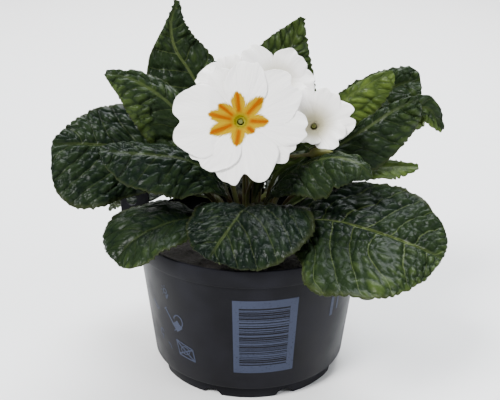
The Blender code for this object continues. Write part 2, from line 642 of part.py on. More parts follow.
def make_crown(finish):
    """Make the rootstock, with a socket for each leaf and stalk."""
    rise = [radians(step) for step in range(0, 90, 15)]
    profile = [(0, CROWN_BOTTOM), (CROWN_RADIUS - 1, CROWN_BOTTOM), (CROWN_RADIUS, CROWN_BOTTOM + 1)]
    profile += [(CROWN_RADIUS * cos(a), CROWN_CENTRE + CROWN_RADIUS * sin(a)) for a in rise]
    profile += [(0, CROWN_CENTRE + CROWN_RADIUS)]
    crown = object_from("crown", turned(profile, 18), finish)
    cutters = []
    for leaf in LEAVES:
        bottom, way = socket(leaf.ring, leaf.azimuth)
        radius = stem_radius(leaf.ring) + 0.55
        shape = cylinder(radius, SOCKET_DEPTH + 4, 8, bottom, way)
        cutters.append(object_from("socket_" + leaf.name, shape, finish))
    for azimuth in [flower.socket for flower in FLOWERS] + [BUD_SOCKET]:
        bottom, way = socket("top", azimuth)
        shape = cylinder(STALK_RADIUS + 0.35, 6, 8, bottom, way)
        cutters.append(object_from(f"socket_{azimuth}", shape, finish))
    boolean(crown, "DIFFERENCE", cutters)
    return crown


def main():
    """Build the whole plant in its pot."""
    for old in list(bpy.data.objects):
        bpy.data.objects.remove(old)
    plastic = material("pot_plastic", (0.02, 0.02, 0.025), 0.45)
    peat = material("soil_peat", (0.06, 0.035, 0.02), 0.95)
    root = material("crown_root", (0.20, 0.16, 0.07), 0.8)
    green = material("leaf_green", (0.035, 0.085, 0.025), 0.4)
    white = material("petal_white", (0.85, 0.83, 0.78), 0.5)
    pale = material("stalk_green", (0.22, 0.30, 0.08), 0.55)
    make_pot(plastic)
    make_soil(peat)
    make_crown(root)
    for leaf in LEAVES:
        make_leaf(leaf, green)
    for flower in FLOWERS:
        make_corolla(flower, white)
        make_flower_stalk(flower, pale)
    make_bud(pale)


main()
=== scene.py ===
"""The looks of a potted primrose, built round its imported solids.

Lengths are in millimetres where a shape is worked out, and in metres in the finished meshes.
The pot's axis is the Z axis, the feet stand at z = 0 and -Y is the front.
"""

import sys

import logging
from dataclasses import dataclass
from enum import Enum
from math import cos, pi, radians, sin

import bpy
import numpy as np
from mathutils import Matrix, Vector

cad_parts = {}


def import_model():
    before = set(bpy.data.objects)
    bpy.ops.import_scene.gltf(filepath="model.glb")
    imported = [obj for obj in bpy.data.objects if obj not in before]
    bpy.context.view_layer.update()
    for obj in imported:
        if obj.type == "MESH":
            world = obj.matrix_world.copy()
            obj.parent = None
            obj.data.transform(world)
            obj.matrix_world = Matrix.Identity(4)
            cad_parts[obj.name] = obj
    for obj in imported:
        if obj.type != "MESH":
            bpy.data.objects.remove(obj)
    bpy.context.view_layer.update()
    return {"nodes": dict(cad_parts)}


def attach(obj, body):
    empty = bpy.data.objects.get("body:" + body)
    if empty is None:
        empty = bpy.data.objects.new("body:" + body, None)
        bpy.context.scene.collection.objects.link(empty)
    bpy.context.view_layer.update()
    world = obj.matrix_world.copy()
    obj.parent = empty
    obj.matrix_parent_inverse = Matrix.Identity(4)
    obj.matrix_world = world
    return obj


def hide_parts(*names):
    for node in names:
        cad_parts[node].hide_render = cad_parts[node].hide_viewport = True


LOG = logging.getLogger("primrose")

MM = 0.001
BODY = "root"
GAP = 0.3

# The crown that the stems stand in
CROWN_CENTRE = 60.0
CROWN_RADIUS = 13.0
CROWN_BOTTOM = 49.0
SOCKET_DEPTH = 2.4
TOP_RING = 2.7
TOP_SOCKET_BOTTOM = CROWN_CENTRE + CROWN_RADIUS - 3.2

# The sides of a round stalk
STALK_SIDES = 20

# The node groups
VEINS = "leaf veins"
GRAIN = "surface grain"

Colour = tuple[float, float, float]


class Ring(Enum):
    """The rings of the crown, with the rise of their stems and the half width of a stem there."""

    LOW = (32.0, 1.3)
    HIGH = (57.0, 1.1)
    TOP = (90.0, 0.7)


class Slot(Enum):
    """The record's material slots, one named for each piece here."""

    POT = "pot"
    SOIL = "soil"
    LEAF = "leaf"
    PETAL = "petal"
    STALK = "stalk"


class Graph:
    """A node tree that is built one node at a time."""

    def __init__(self, tree: bpy.types.NodeTree) -> None:
        """Start on the tree of a material or a group."""
        self.tree = tree

    def add(self, kind: str, values: dict | None = None, **settings: object) -> bpy.types.Node:
        """Add a node, give it its settings and feed its inputs.

        Args:
            kind: the node's type.
            values: for each input, by name or number, a socket to link or a constant.
            settings: the node's own properties.

        Returns:
            The new node.
        """
        node = self.tree.nodes.new(kind)
        for name, value in settings.items():
            setattr(node, name, value)
        self.feed(node, values or {})
        return node

    def feed(self, node: bpy.types.Node, values: dict) -> None:
        """Feed a node's inputs.

        Args:
            node: the node.
            values: for each input, by name or number, a socket to link or a constant.
        """
        for key, value in values.items():
            if isinstance(value, bpy.types.NodeSocket):
                self.tree.links.new(value, node.inputs[key])
            else:
                node.inputs[key].default_value = value

    def group(self, name: str, **values: float) -> bpy.types.Node:
        """Add a node group, with values for its inputs."""
        return self.add("ShaderNodeGroup", values, node_tree=bpy.data.node_groups[name])

    def math(self, operation: str, *terms: object) -> bpy.types.NodeSocket:
        """Work out a sum of sockets and numbers."""
        return self.add("ShaderNodeMath", dict(enumerate(terms)), operation=operation).outputs[0]

    def times(self, first: object, second: object) -> bpy.types.NodeSocket:
        """Multiply two sockets or numbers."""
        return self.math("MULTIPLY", first, second)

    def ramp(self, value: object, low: object, high: object, start: float = 0.0,
             end: float = 1.0) -> bpy.types.NodeSocket:
        """Turn a value smoothly from start to end while it goes from low to high."""
        return self.add("ShaderNodeMapRange", {0: value, 1: low, 2: high, 3: start, 4: end},
                        interpolation_type="SMOOTHSTEP").outputs[0]

    def mix(self, share: object, first: object, second: object, blend: str = "MIX") -> bpy.types.NodeSocket:
        """Mix two colours.

        Args:
            share: how much of the second colour shows.
            first: the first colour or its socket.
            second: the second colour or its socket.
            blend: how they are mixed.

        Returns:
            The colour's socket.
        """
        pair = [(*part, 1.0) if isinstance(part, tuple) else part for part in (first, second)]
        node = self.add("ShaderNodeMix", {0: share, 6: pair[0], 7: pair[1]}, data_type="RGBA",
                        blend_type=blend)
        return node.outputs[2]

    def darken(self, share: object, colour: object, by: Colour) -> bpy.types.NodeSocket:
        """Multiply a share of a colour by another."""
        return self.mix(share, colour, self.mix(1.0, colour, by, "MULTIPLY"))

    def noise(self, place: bpy.types.NodeSocket, size: float, detail: float = 2.0) -> bpy.types.NodeSocket:
        """Make noise from 0 to 1 with features of a size in the place's own unit."""
        values = {"Vector": place, "Scale": 1 / size, "Detail": detail}
        return self.add("ShaderNodeTexNoise", values).outputs[0]

    def stored(self, name: str) -> bpy.types.NodeSocket:
        """Read a number that is stored on the mesh."""
        return self.add("ShaderNodeAttribute", attribute_name=name).outputs["Fac"]

    def object_place(self) -> bpy.types.NodeSocket:
        """Read the place on the object, in metres."""
        return self.add("ShaderNodeTexCoord").outputs["Object"]

    def vector(self, x: object, y: object, z: object = 0.0) -> bpy.types.NodeSocket:
        """Join three numbers into a place."""
        return self.add("ShaderNodeCombineXYZ", {0: x, 1: y, 2: z}).outputs[0]

    def bump(self, height: object, distance: float, strength: float = 1.0,
             under: object = None) -> bpy.types.NodeSocket:
        """Turn a height into a normal.

        Args:
            height: the height, from 0 to 1.
            distance: the depth of a height of 1, in metres.
            strength: how much of it counts.
            under: the normal that it is added to.

        Returns:
            The normal's socket.
        """
        values = {"Height": height, "Distance": distance, "Strength": strength}
        if under is not None:
            values["Normal"] = under
        return self.add("ShaderNodeBump", values).outputs[0]


def new_group(name: str, inputs: dict[str, float], outputs: tuple[str, ...]) -> tuple[Graph, object, object]:
    """Start a shader node group of plain numbers.

    Args:
        name: the group's name.
        inputs: its inputs and their usual values.
        outputs: its outputs.

    Returns:
        The group's graph, its input node and its output node.
    """
    tree = bpy.data.node_groups.new(name, "ShaderNodeTree")
    for label, value in inputs.items():
        made = tree.interface.new_socket(name=label, in_out="INPUT", socket_type="NodeSocketFloat")
        made.default_value = value
    for label in outputs:
        tree.interface.new_socket(name=label, in_out="OUTPUT", socket_type="NodeSocketFloat")
    graph = Graph(tree)
    return graph, graph.add("NodeGroupInput"), graph.add("NodeGroupOutput")


def vein_group() -> None:
    """Build the group that draws a leaf's veins from its stored places.

    It gives a mask of the veins, the depth of their grooves and the height of the fine net.
    """
    graph, given, result = new_group(VEINS, {"Spacing": 9.0, "Width": 0.42, "Net": 2.6},
                                     ("Veins", "Grooves", "Net"))
    spacing, width = given.outputs["Spacing"], given.outputs["Width"]
    across = graph.math("ABSOLUTE", graph.stored("across"))
    phase, reach = graph.stored("phase"), graph.stored("reach")

    def lines(shift: float) -> bpy.types.NodeSocket:
        """Measure how far a place is from the nearest side vein, in millimetres."""
        turn = graph.math("FRACT", graph.math("ADD", phase, shift))
        return graph.times(graph.math("ABSOLUTE", graph.math("SUBTRACT", turn, 0.5)), spacing)

    side = lines(0.5)
    fork = graph.math("ADD", lines(0.0), graph.ramp(reach, 0.45, 0.75, 2.0, 0.35))
    thin = graph.times(graph.times(width, 0.6), graph.ramp(reach, 0.4, 1.0, 1.0, 0.45))
    rib = graph.ramp(across, graph.times(width, 1.3), graph.times(width, 2.4), 1.3, 0.0)
    rib = graph.times(rib, graph.ramp(graph.stored("along"), 0.75, 1.0, 1.0, 0.15))
    drawn = graph.ramp(side, graph.times(thin, 0.4), graph.times(thin, 1.5), 0.7, 0.0)
    forks = graph.ramp(fork, graph.times(thin, 0.3), graph.times(thin, 1.3), 0.6, 0.0)
    veins = graph.math("MAXIMUM", rib, graph.math("MAXIMUM", drawn, forks))
    grooves = graph.ramp(graph.math("MINIMUM", side, graph.times(across, 0.8)), 0.0, 1.6, 1.0, 0.0)
    place = graph.vector(graph.times(phase, spacing), across)
    scale = graph.math("DIVIDE", 1.0, given.outputs["Net"])
    cells = graph.add("ShaderNodeTexVoronoi", {"Vector": place, "Scale": scale}, feature="DISTANCE_TO_EDGE")
    net = graph.ramp(cells.outputs["Distance"], 0.0, 0.3)
    graph.feed(result, {"Veins": veins, "Grooves": grooves, "Net": net})


def grain_group() -> None:
    """Build the group that gives a surface its fine grain and its slow change of shade, from 0 to 1."""
    graph, given, result = new_group(GRAIN, {"Fine": 0.001, "Wide": 0.02}, ("Grain", "Shade"))
    made = []
    for size, detail in (("Fine", 3.0), ("Wide", 2.0)):
        scale = graph.math("DIVIDE", 1.0, given.outputs[size])
        values = {"Vector": graph.object_place(), "Scale": scale, "Detail": detail}
        made.append(graph.add("ShaderNodeTexNoise", values).outputs[0])
    graph.feed(result, {"Grain": made[0], "Shade": graph.ramp(made[1], 0.3, 0.7)})


def start_material(name: str, roughness: float = 0.5, gloss: float = 0.5) -> tuple[Graph, bpy.types.Node]:
    """Start a material.

    Args:
        name: its name.
        roughness: its roughness, where nothing is linked to it.
        gloss: its shader's specular level, where nothing is linked to it.

    Returns:
        The material's graph and its shader.
    """
    made = bpy.data.materials.new(name)
    made.use_nodes = True
    shader = made.node_tree.nodes["Principled BSDF"]
    graph = Graph(made.node_tree)
    graph.feed(shader, {"Roughness": roughness, "Specular IOR Level": gloss})
    return graph, shader


def finished(graph: Graph) -> bpy.types.Material:
    """Find the material that a graph belongs to."""
    return next(made for made in bpy.data.materials if made.node_tree == graph.tree)


@dataclass(frozen=True)
class LeafFinish:
    """The finish of a leaf's two faces."""

    dark: Colour = (0.004, 0.0082, 0.0052)
    mid: Colour = (0.0115, 0.0205, 0.0080)
    light: Colour = (0.040, 0.062, 0.015)
    bright: Colour = (0.090, 0.13, 0.024)
    vein: Colour = (0.095, 0.125, 0.040)
    edge: Colour = (0.03, 0.035, 0.012)
    # Painted shade: multiplied into the green along the sunken vein grooves
    groove_shade: Colour = (0.45, 0.55, 0.4)
    # Painted shade: multiplied into the green in the seams between the net's cells
    seam_shade: Colour = (0.5, 0.6, 0.45)
    haze: Colour = (0.06, 0.09, 0.03)
    roughness: float = 0.29
    gloss: float = 0.065

    def shade(self, graph: Graph, lift: float) -> bpy.types.NodeSocket:
        """Mix the blade's greens by its stored tone, with painted light on the blisters' tops and painted
        shade in their seams.

        Args:
            graph: the material's graph.
            lift: how much lighter the face is than the stored tone.

        Returns:
            The colour's socket.
        """
        grain = graph.group(GRAIN, Fine=0.0012, Wide=0.012)
        tone = graph.math("ADD", graph.stored("tone"), lift)
        tone = graph.math("ADD", tone, graph.ramp(grain.outputs["Shade"], 0.0, 1.0, -0.08, 0.08))
        # Painted light and shade: the tone rises with the blister height, lighter on the tops and darker in
        # the seams
        tone = graph.math("ADD", tone, graph.ramp(graph.stored("blister"), 0.0, 1.0, -0.12, 0.12))
        colour = self.dark
        for low, high, lighter in ((0.0, 0.4, self.mid), (0.4, 0.75, self.light), (0.75, 1.1, self.bright)):
            colour = graph.mix(graph.ramp(tone, low, high), colour, lighter)
        return colour

    def upper(self) -> bpy.types.Material:
        """Make the upper face: dark and glossy, with sunken pale veins, and painted shade in the vein grooves
        and in the seams of the fine net.

        Returns:
            The material.
        """
        graph, shader = start_material("leaf upper face", self.roughness, self.gloss)
        veins = graph.group(VEINS).outputs
        # Painted shade: darker in the sunken grooves along the side veins and the midrib
        colour = graph.darken(graph.times(veins["Grooves"], 0.45), self.shade(graph, 0.0), self.groove_shade)
        # Painted shade: darker in the seams between the cells of the fine net, where its bump sinks
        net_seam_shade = graph.times(graph.math("SUBTRACT", 1.0, veins["Net"]), 0.35)
        colour = graph.darken(net_seam_shade, colour, self.seam_shade)
        colour = graph.mix(graph.ramp(graph.stored("reach"), 0.9, 1.0, 0.0, 0.5), colour, self.edge)
        colour = graph.mix(graph.times(veins["Veins"], graph.stored("veined")), colour, self.vein)
        colour = graph.mix(graph.stored("stem"), colour, StalkFinish().blushed(graph))
        fine = graph.noise(graph.object_place(), 0.0009)
        normal = graph.bump(fine, 0.00004, 0.4, graph.bump(veins["Net"], 0.0002, 0.4))
        roughness = graph.ramp(fine, 0.2, 0.8, self.roughness - 0.06, self.roughness + 0.1)
        graph.feed(shader, {"Base Color": colour, "Normal": normal, "Roughness": roughness})
        return finished(graph)

    def under(self) -> bpy.types.Material:
        """Make the under face: paler and matt, with raised veins.

        Returns:
            The material.
        """
        graph, shader = start_material("leaf under face", 0.6, 0.35)
        veins = graph.group(VEINS).outputs
        colour = graph.mix(0.35, self.shade(graph, 0.3), self.haze)
        net = graph.math("SUBTRACT", 1.0, veins["Net"])
        colour = graph.mix(graph.times(net, 0.5), colour, self.vein)
        colour = graph.mix(graph.times(veins["Veins"], 0.9), colour, self.vein)
        colour = graph.mix(graph.stored("stem"), colour, StalkFinish().blushed(graph))
        normal = graph.bump(graph.math("MAXIMUM", veins["Veins"], net), 0.0004, 0.7)
        graph.feed(shader, {"Base Color": colour, "Normal": normal})
        return finished(graph)


@dataclass(frozen=True)
class StalkFinish:
    """The finish of stalks, calyces and stems: green with a reddish blush."""

    green: Colour = (0.045, 0.055, 0.016)
    red: Colour = (0.035, 0.014, 0.008)
    pale: Colour = (0.20, 0.21, 0.03)
    roughness: float = 0.5
    gloss: float = 0.2

    def blushed(self, graph: Graph) -> bpy.types.NodeSocket:
        """Mix the green with its blush, and return the colour's socket."""
        blush = graph.ramp(graph.noise(graph.object_place(), 0.006), 0.35, 0.65, 0.1, 0.75)
        return graph.mix(blush, self.green, self.red)

    def material(self) -> bpy.types.Material:
        """Make the material of the flower stalks.

        Returns:
            The material.
        """
        graph, shader = start_material("flower stalk", self.roughness, self.gloss)
        colour = graph.mix(graph.stored("tone"), self.blushed(graph), self.pale)
        fuzz = graph.noise(graph.object_place(), 0.0005)
        graph.feed(shader, {"Base Color": colour, "Normal": graph.bump(fuzz, 0.0001, 0.6)})
        return finished(graph)


@dataclass(frozen=True)
class PetalFinish:
    """The finish of the petals: cream white, with a yellow star round the throat."""

    white: Colour = (0.90, 0.88, 0.85)
    # Painted shade: the grey laid into the low places of the petals' fine radial folds
    shade: Colour = (0.70, 0.69, 0.67)
    yellow: Colour = (0.33, 0.205, 0.0)
    orange: Colour = (0.25, 0.05, 0.0)
    fringe: Colour = (0.46, 0.36, 0.03)
    olive: Colour = (0.20, 0.165, 0.005)
    rim: Colour = (0.26, 0.25, 0.03)

    def material(self) -> bpy.types.Material:
        """Make the material of the petals.

        Returns:
            The material.
        """
        graph, shader = start_material("petal", 0.55)
        radius = graph.stored("radius")
        place = graph.vector(graph.times(graph.stored("bearing"), 26.0), graph.times(radius, 0.05),
                             graph.stored("layer"))
        lines = graph.noise(place, 1.0)
        rough = graph.noise(graph.object_place(), 0.0011, 3.0)
        # Painted shade: grey where the fine radial lines, which the bump raises as folds, are low
        colour = graph.mix(graph.ramp(lines, 0.35, 0.62, 0.22, 0.0), self.white, self.shade)
        # Partly real and partly painted shade: the back flowers' yellow-green throat colour, mixed in as
        # olive towards the cupped petal bases
        tint = graph.times(graph.ramp(radius, 3.0, 12.0, 0.9, 0.0), graph.stored("olive"))
        colour = graph.mix(tint, colour, self.olive)
        star = graph.math("ADD", graph.stored("star"), graph.ramp(rough, 0.3, 0.7, -0.15, 0.15))
        star = graph.math("ADD", star, graph.ramp(lines, 0.3, 0.7, -0.3, 0.3))
        colour = graph.mix(graph.ramp(star, -0.8, 0.1, 0.0, 0.7), colour, self.fringe)
        coloured = graph.ramp(star, -0.25, 0.35)
        colour = graph.mix(coloured, colour, self.yellow)
        middle = graph.math("ADD", graph.stored("midline"), graph.ramp(lines, 0.3, 0.7, -0.3, 0.3))
        deep = graph.times(graph.ramp(middle, 0.1, 1.7, 1.0, 0.0), graph.ramp(star, 0.1, 0.9))
        deep = graph.times(deep, graph.ramp(radius, 2.6, 4.6, 0.0, 0.95))
        colour = graph.mix(deep, colour, self.orange)
        within = graph.ramp(star, 0.0, 0.5)
        colour = graph.mix(graph.times(graph.ramp(radius, 2.2, 4.0, 0.9, 0.0), within), colour, self.olive)
        rim = graph.times(graph.ramp(radius, 1.2, 1.35), graph.ramp(radius, 1.6, 1.95, 0.9, 0.0))
        colour = graph.mix(graph.times(rim, within), colour, self.rim)
        normal = graph.bump(rough, 0.00006, 0.5, graph.bump(lines, 0.0004, 0.55))
        graph.feed(shader, {"Base Color": colour, "Normal": normal,
                            "Specular IOR Level": graph.ramp(coloured, 0.0, 1.0, 0.3, 0.0)})
        return finished(graph)


@dataclass(frozen=True)
class PlasticFinish:
    """The finish of the pot: near-black moulded plastic, matt with a soft sheen and some dust."""

    black: Colour = (0.0045, 0.0045, 0.006)
    dusty: Colour = (0.009, 0.009, 0.012)
    roughness: float = 0.42
    gloss: float = 0.07

    def material(self) -> bpy.types.Material:
        """Make the material of the pot.

        Returns:
            The material.
        """
        graph, shader = start_material("pot plastic", self.roughness, self.gloss)
        grain = graph.group(GRAIN, Fine=0.0006, Wide=0.018).outputs
        roughness = graph.ramp(grain["Shade"], 0.0, 1.0, self.roughness - 0.04, self.roughness + 0.08)
        graph.feed(shader, {"Base Color": graph.mix(grain["Shade"], self.black, self.dusty),
                            "Normal": graph.bump(grain["Grain"], 0.00006, 0.5), "Roughness": roughness})
        return finished(graph)


@dataclass(frozen=True)
class PrintFinish:
    """The finish of the pale print on the pot, worn a little thin."""

    ink: Colour = (0.034, 0.041, 0.068)
    worn: Colour = (0.012, 0.014, 0.024)
    gloss: float = 0.1

    def material(self) -> bpy.types.Material:
        """Make the material of the print.

        Returns:
            The material.
        """
        graph, shader = start_material("pot print", gloss=self.gloss)
        grain = graph.group(GRAIN, Fine=0.0009, Wide=0.006).outputs
        wear = graph.ramp(grain["Grain"], 0.55, 0.8, 0.0, 0.8)
        graph.feed(shader, {"Base Color": graph.mix(wear, self.ink, self.worn)})
        return finished(graph)


@dataclass(frozen=True)
class PeatFinish:
    """The finish of the soil: dark moist peat with pale specks."""

    dark: Colour = (0.004, 0.003, 0.002)
    brown: Colour = (0.014, 0.009, 0.006)
    speck: Colour = (0.12, 0.10, 0.07)
    speck_scale: float = 220.0
    unspecked: float = 0.86

    def material(self) -> bpy.types.Material:
        """Make the material of the soil.

        Returns:
            The material.
        """
        graph, shader = start_material("soil peat", 0.9)
        grain = graph.group(GRAIN, Fine=0.0016, Wide=0.004).outputs["Grain"]
        colour = graph.mix(grain, self.dark, self.brown)
        values = {"Vector": graph.object_place(), "Scale": self.speck_scale}
        specks = graph.add("ShaderNodeTexVoronoi", values).outputs
        draw = graph.add("ShaderNodeSeparateColor", {0: specks["Color"]}).outputs[0]
        chosen = graph.math("GREATER_THAN", draw, self.unspecked)
        round_speck = graph.ramp(specks["Distance"], 0.18, 0.3, 1.0, 0.0)
        colour = graph.mix(graph.times(chosen, round_speck), colour, self.speck)
        graph.feed(shader, {"Base Color": colour, "Normal": graph.bump(grain, 0.0008, 0.9)})
        return finished(graph)


def unit(vector: np.ndarray) -> np.ndarray:
    """Give vectors the length 1."""
    vector = np.asarray(vector, float)
    return vector / np.linalg.norm(vector, axis=-1, keepdims=True)


def smooth_route(points: list, samples: int = 400) -> np.ndarray:
    """Sample a smooth curve through some points, evenly by length.

    Args:
        points: the points, in order.
        samples: how many samples to take.

    Returns:
        The samples, a row each.
    """
    points = np.asarray(points, float)
    points = np.vstack([2 * points[0] - points[1], points, 2 * points[-1] - points[-2]])
    knots = np.concatenate([[0], np.cumsum(np.linalg.norm(np.diff(points, axis=0), axis=1) ** 0.5)])
    curve = []
    for i in range(1, len(points) - 2):
        t0, t1, t2, t3 = knots[i - 1:i + 3]
        p0, p1, p2, p3 = points[i - 1:i + 3]
        t = np.linspace(t1, t2, 60, endpoint=False)[:, None]
        a1 = (t1 - t) / (t1 - t0) * p0 + (t - t0) / (t1 - t0) * p1
        a2 = (t2 - t) / (t2 - t1) * p1 + (t - t1) / (t2 - t1) * p2
        a3 = (t3 - t) / (t3 - t2) * p2 + (t - t2) / (t3 - t2) * p3
        b1 = (t2 - t) / (t2 - t0) * a1 + (t - t0) / (t2 - t0) * a2
        b2 = (t3 - t) / (t3 - t1) * a2 + (t - t1) / (t3 - t1) * a3
        curve.append((t2 - t) / (t2 - t1) * b1 + (t - t1) / (t2 - t1) * b2)
    curve = np.vstack(curve + [points[-2:-1]])
    steps = np.linalg.norm(np.diff(curve, axis=0), axis=1)
    along = np.concatenate([[0], np.cumsum(steps)])
    return between(np.linspace(0, along[-1], samples), along, curve)


def between(t: np.ndarray, known: np.ndarray, rows: np.ndarray) -> np.ndarray:
    """Read a table of vectors at the places t, from its rows at the known places."""
    rows = np.asarray(rows, float)
    return np.stack([np.interp(t, known, rows[:, axis]) for axis in range(3)], axis=-1)


def socket(ring: Ring, azimuth: float) -> tuple[np.ndarray, np.ndarray]:
    """Find a socket of the crown.

    Args:
        ring: the ring that it lies on.
        azimuth: its azimuth, in degrees.

    Returns:
        The middle of its bottom, and the direction of its axis.
    """
    turn, rise = radians(azimuth), radians(ring.value[0])
    if ring is Ring.TOP:
        place = np.array((TOP_RING * cos(turn), TOP_RING * sin(turn), TOP_SOCKET_BOTTOM))
        return place, np.array((0, 0, 1.0))
    way = np.array((cos(turn) * cos(rise), sin(turn) * cos(rise), sin(rise)))
    return np.array((0, 0, CROWN_CENTRE)) + way * (CROWN_RADIUS - SOCKET_DEPTH), way


def ripple(x: np.ndarray, y: np.ndarray, size: float, seed: int, waves: int = 7) -> np.ndarray:
    """Make smooth uneven waves from about -1 to 1.

    Args:
        x: one coordinate of each place.
        y: the other coordinate.
        size: the usual length of a wave, in the same unit.
        seed: which of the possible patterns.
        waves: how many plain waves are summed.

    Returns:
        The height at each place.
    """
    draw = np.random.default_rng(seed)
    total = np.zeros(np.broadcast(x, y).shape)
    for _ in range(waves):
        turn, start = draw.uniform(0, 2 * pi, 2)
        pace = 2 * pi / (size * draw.uniform(0.7, 1.5))
        total += np.sin(pace * (x * cos(turn) + y * sin(turn)) + start)
    return total / waves ** 0.5


def pillows(x: np.ndarray, y: np.ndarray, size: float, seed: int) -> np.ndarray:
    """Make a field of uneven pillows, low where two of them meet.

    Args:
        x: one coordinate of each place.
        y: the other coordinate.
        size: the usual width of a pillow, in the same unit.
        seed: which of the possible patterns.

    Returns:
        The height at each place, from 0 in the seams to 1.
    """
    draw = np.random.default_rng(seed)
    columns = np.arange(np.floor(x.min() / size) - 1, np.ceil(x.max() / size) + 2)
    rows = np.arange(np.floor(y.min() / size) - 1, np.ceil(y.max() / size) + 2)
    middle = np.stack(np.meshgrid(columns, rows), axis=-1).reshape(-1, 2) * size
    middle = middle + draw.uniform(-0.42, 0.42, middle.shape) * size
    places = np.stack([x.ravel(), y.ravel()], axis=1)
    height = np.empty(len(places))
    for start in range(0, len(places), 4000):
        part = places[start:start + 4000]
        gaps = np.linalg.norm(part[:, None, :] - middle[None, :, :], axis=2)
        nearest = np.partition(gaps, 1, axis=1)[:, :2]
        height[start:start + 4000] = (nearest[:, 1] - nearest[:, 0]) / size
    return np.clip(height.reshape(x.shape) / 0.7, 0, 1) ** 0.6


def select_only(made: bpy.types.Object) -> None:
    """Select one object and make it active.

    Args:
        made: the object.
    """
    bpy.ops.object.select_all(action="DESELECT")
    made.select_set(True)
    bpy.context.view_layer.objects.active = made


def grid_object(name: str, points: np.ndarray, stored: dict[str, object]) -> bpy.types.Object:
    """Add a grid and shape it.

    Args:
        name: the object's name.
        points: rows and columns of points in millimetres.
        stored: numbers that are stored on the points, each spread over the grid.

    Returns:
        The new object.
    """
    rows, columns, _ = points.shape
    bpy.ops.object.select_all(action="DESELECT")
    bpy.ops.mesh.primitive_grid_add(x_subdivisions=columns - 1, y_subdivisions=rows - 1, size=1)
    made = bpy.context.object
    made.name = name
    made.data.name = name
    made.data.vertices.foreach_set("co", (points * MM).astype(np.float32).ravel())
    for label, values in stored.items():
        layer = made.data.attributes.new(label, "FLOAT", "POINT")
        values = np.broadcast_to(values, (rows, columns))
        layer.data.foreach_set("value", values.astype(np.float32).ravel())
    made.data.update()
    return made


def thicken(made: bpy.types.Object, thick: np.ndarray, two_faced: bool = False) -> None:
    """Give a surface its thickness, half to each side.

    Args:
        made: the surface.
        thick: the thickness at each point, in millimetres.
        two_faced: whether the under face takes the second material.
    """
    group = made.vertex_groups.new(name="thickness")
    largest = float(thick.max())
    shares = np.round(thick.ravel() / largest, 3)
    for share in np.unique(shares):
        group.add(np.flatnonzero(shares == share).tolist(), float(share), "REPLACE")
    solid = made.modifiers.new("thickness", "SOLIDIFY")
    solid.thickness = largest * MM
    solid.offset = 0
    solid.vertex_group = "thickness"
    solid.material_offset = 1 if two_faced else 0
    solid.material_offset_rim = 0
    select_only(made)
    bpy.ops.object.modifier_apply(modifier="thickness")
    made.vertex_groups.clear()


def join(pieces: list[bpy.types.Object]) -> bpy.types.Object:
    """Join objects.

    Args:
        pieces: the objects.

    Returns:
        The first of them, which then holds all of them.
    """
    select_only(pieces[0])
    for piece in pieces:
        piece.select_set(True)
    bpy.ops.object.join()
    return pieces[0]


def smooth(made: bpy.types.Object, angle: float = 180.0) -> None:
    """Shade an object smooth, but for edges sharper than an angle in degrees."""
    select_only(made)
    bpy.ops.object.shade_smooth_by_angle(angle=radians(angle))


def enlist(made: bpy.types.Object, slot: Slot, *nodes: str) -> None:
    """Make a piece ride on the part's body.

    Args:
        made: the piece.
        slot: the record's material slot named for it; not used.
        nodes: the solids that it stands for.
    """
    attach(made, BODY)
    if nodes:
        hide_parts(*nodes)
    made.data.calc_loop_triangles()
    LOG.info("%s: %d triangles", made.name, len(made.data.loop_triangles))


def close_seam(made: bpy.types.Object, capped: bool = False) -> None:
    """Merge the points of a grid that meet, and turn its faces outward.

    Args:
        made: the grid.
        capped: whether its open ends are filled.
    """
    select_only(made)
    bpy.ops.object.mode_set(mode="EDIT")
    bpy.ops.mesh.select_all(action="SELECT")
    bpy.ops.mesh.remove_doubles(threshold=1e-6)
    if capped:
        bpy.ops.mesh.select_all(action="DESELECT")
        bpy.ops.mesh.select_non_manifold()
        bpy.ops.mesh.edge_face_add()
        bpy.ops.mesh.select_all(action="SELECT")
    bpy.ops.mesh.normals_make_consistent(inside=False)
    bpy.ops.object.mode_set(mode="OBJECT")


def tube(name: str, rings: list[np.ndarray], tones: list[float]) -> bpy.types.Object:
    """Make a closed tube through rings of points.

    Args:
        name: the object's name.
        rings: the rings, in millimetres, all with as many points.
        tones: the tone that is stored on each ring.

    Returns:
        The new object.
    """
    count = len(rings[0])
    points = np.stack([np.vstack([ring, ring[:1]]) for ring in rings])
    values = np.repeat(np.asarray(tones, float)[:, None], count + 1, axis=1)
    made = grid_object(name, points, {"tone": values})
    close_seam(made, capped=True)
    return made


def five_ribs() -> np.ndarray:
    """Give a wave with five tops round a stalk, from -1 to 1 at each of its sides."""
    return np.cos(5 * np.arange(STALK_SIDES) * 2 * pi / STALK_SIDES)


def ring_points(centre: np.ndarray, along: np.ndarray, radius: float | np.ndarray,
                guide: np.ndarray) -> np.ndarray:
    """Place one ring of points round a centre.

    Args:
        centre: the ring's middle.
        along: the direction of the ring's axis.
        radius: its radius, or one for each point.
        guide: a direction that the first point lies towards.

    Returns:
        The points, a row each.
    """
    along = unit(along)
    first = unit(guide - np.dot(guide, along) * along)
    second = np.cross(along, first)
    angles = np.arange(STALK_SIDES) * 2 * pi / STALK_SIDES
    wide = np.broadcast_to(radius, STALK_SIDES)[:, None]
    return centre + wide * (np.cos(angles)[:, None] * first + np.sin(angles)[:, None] * second)


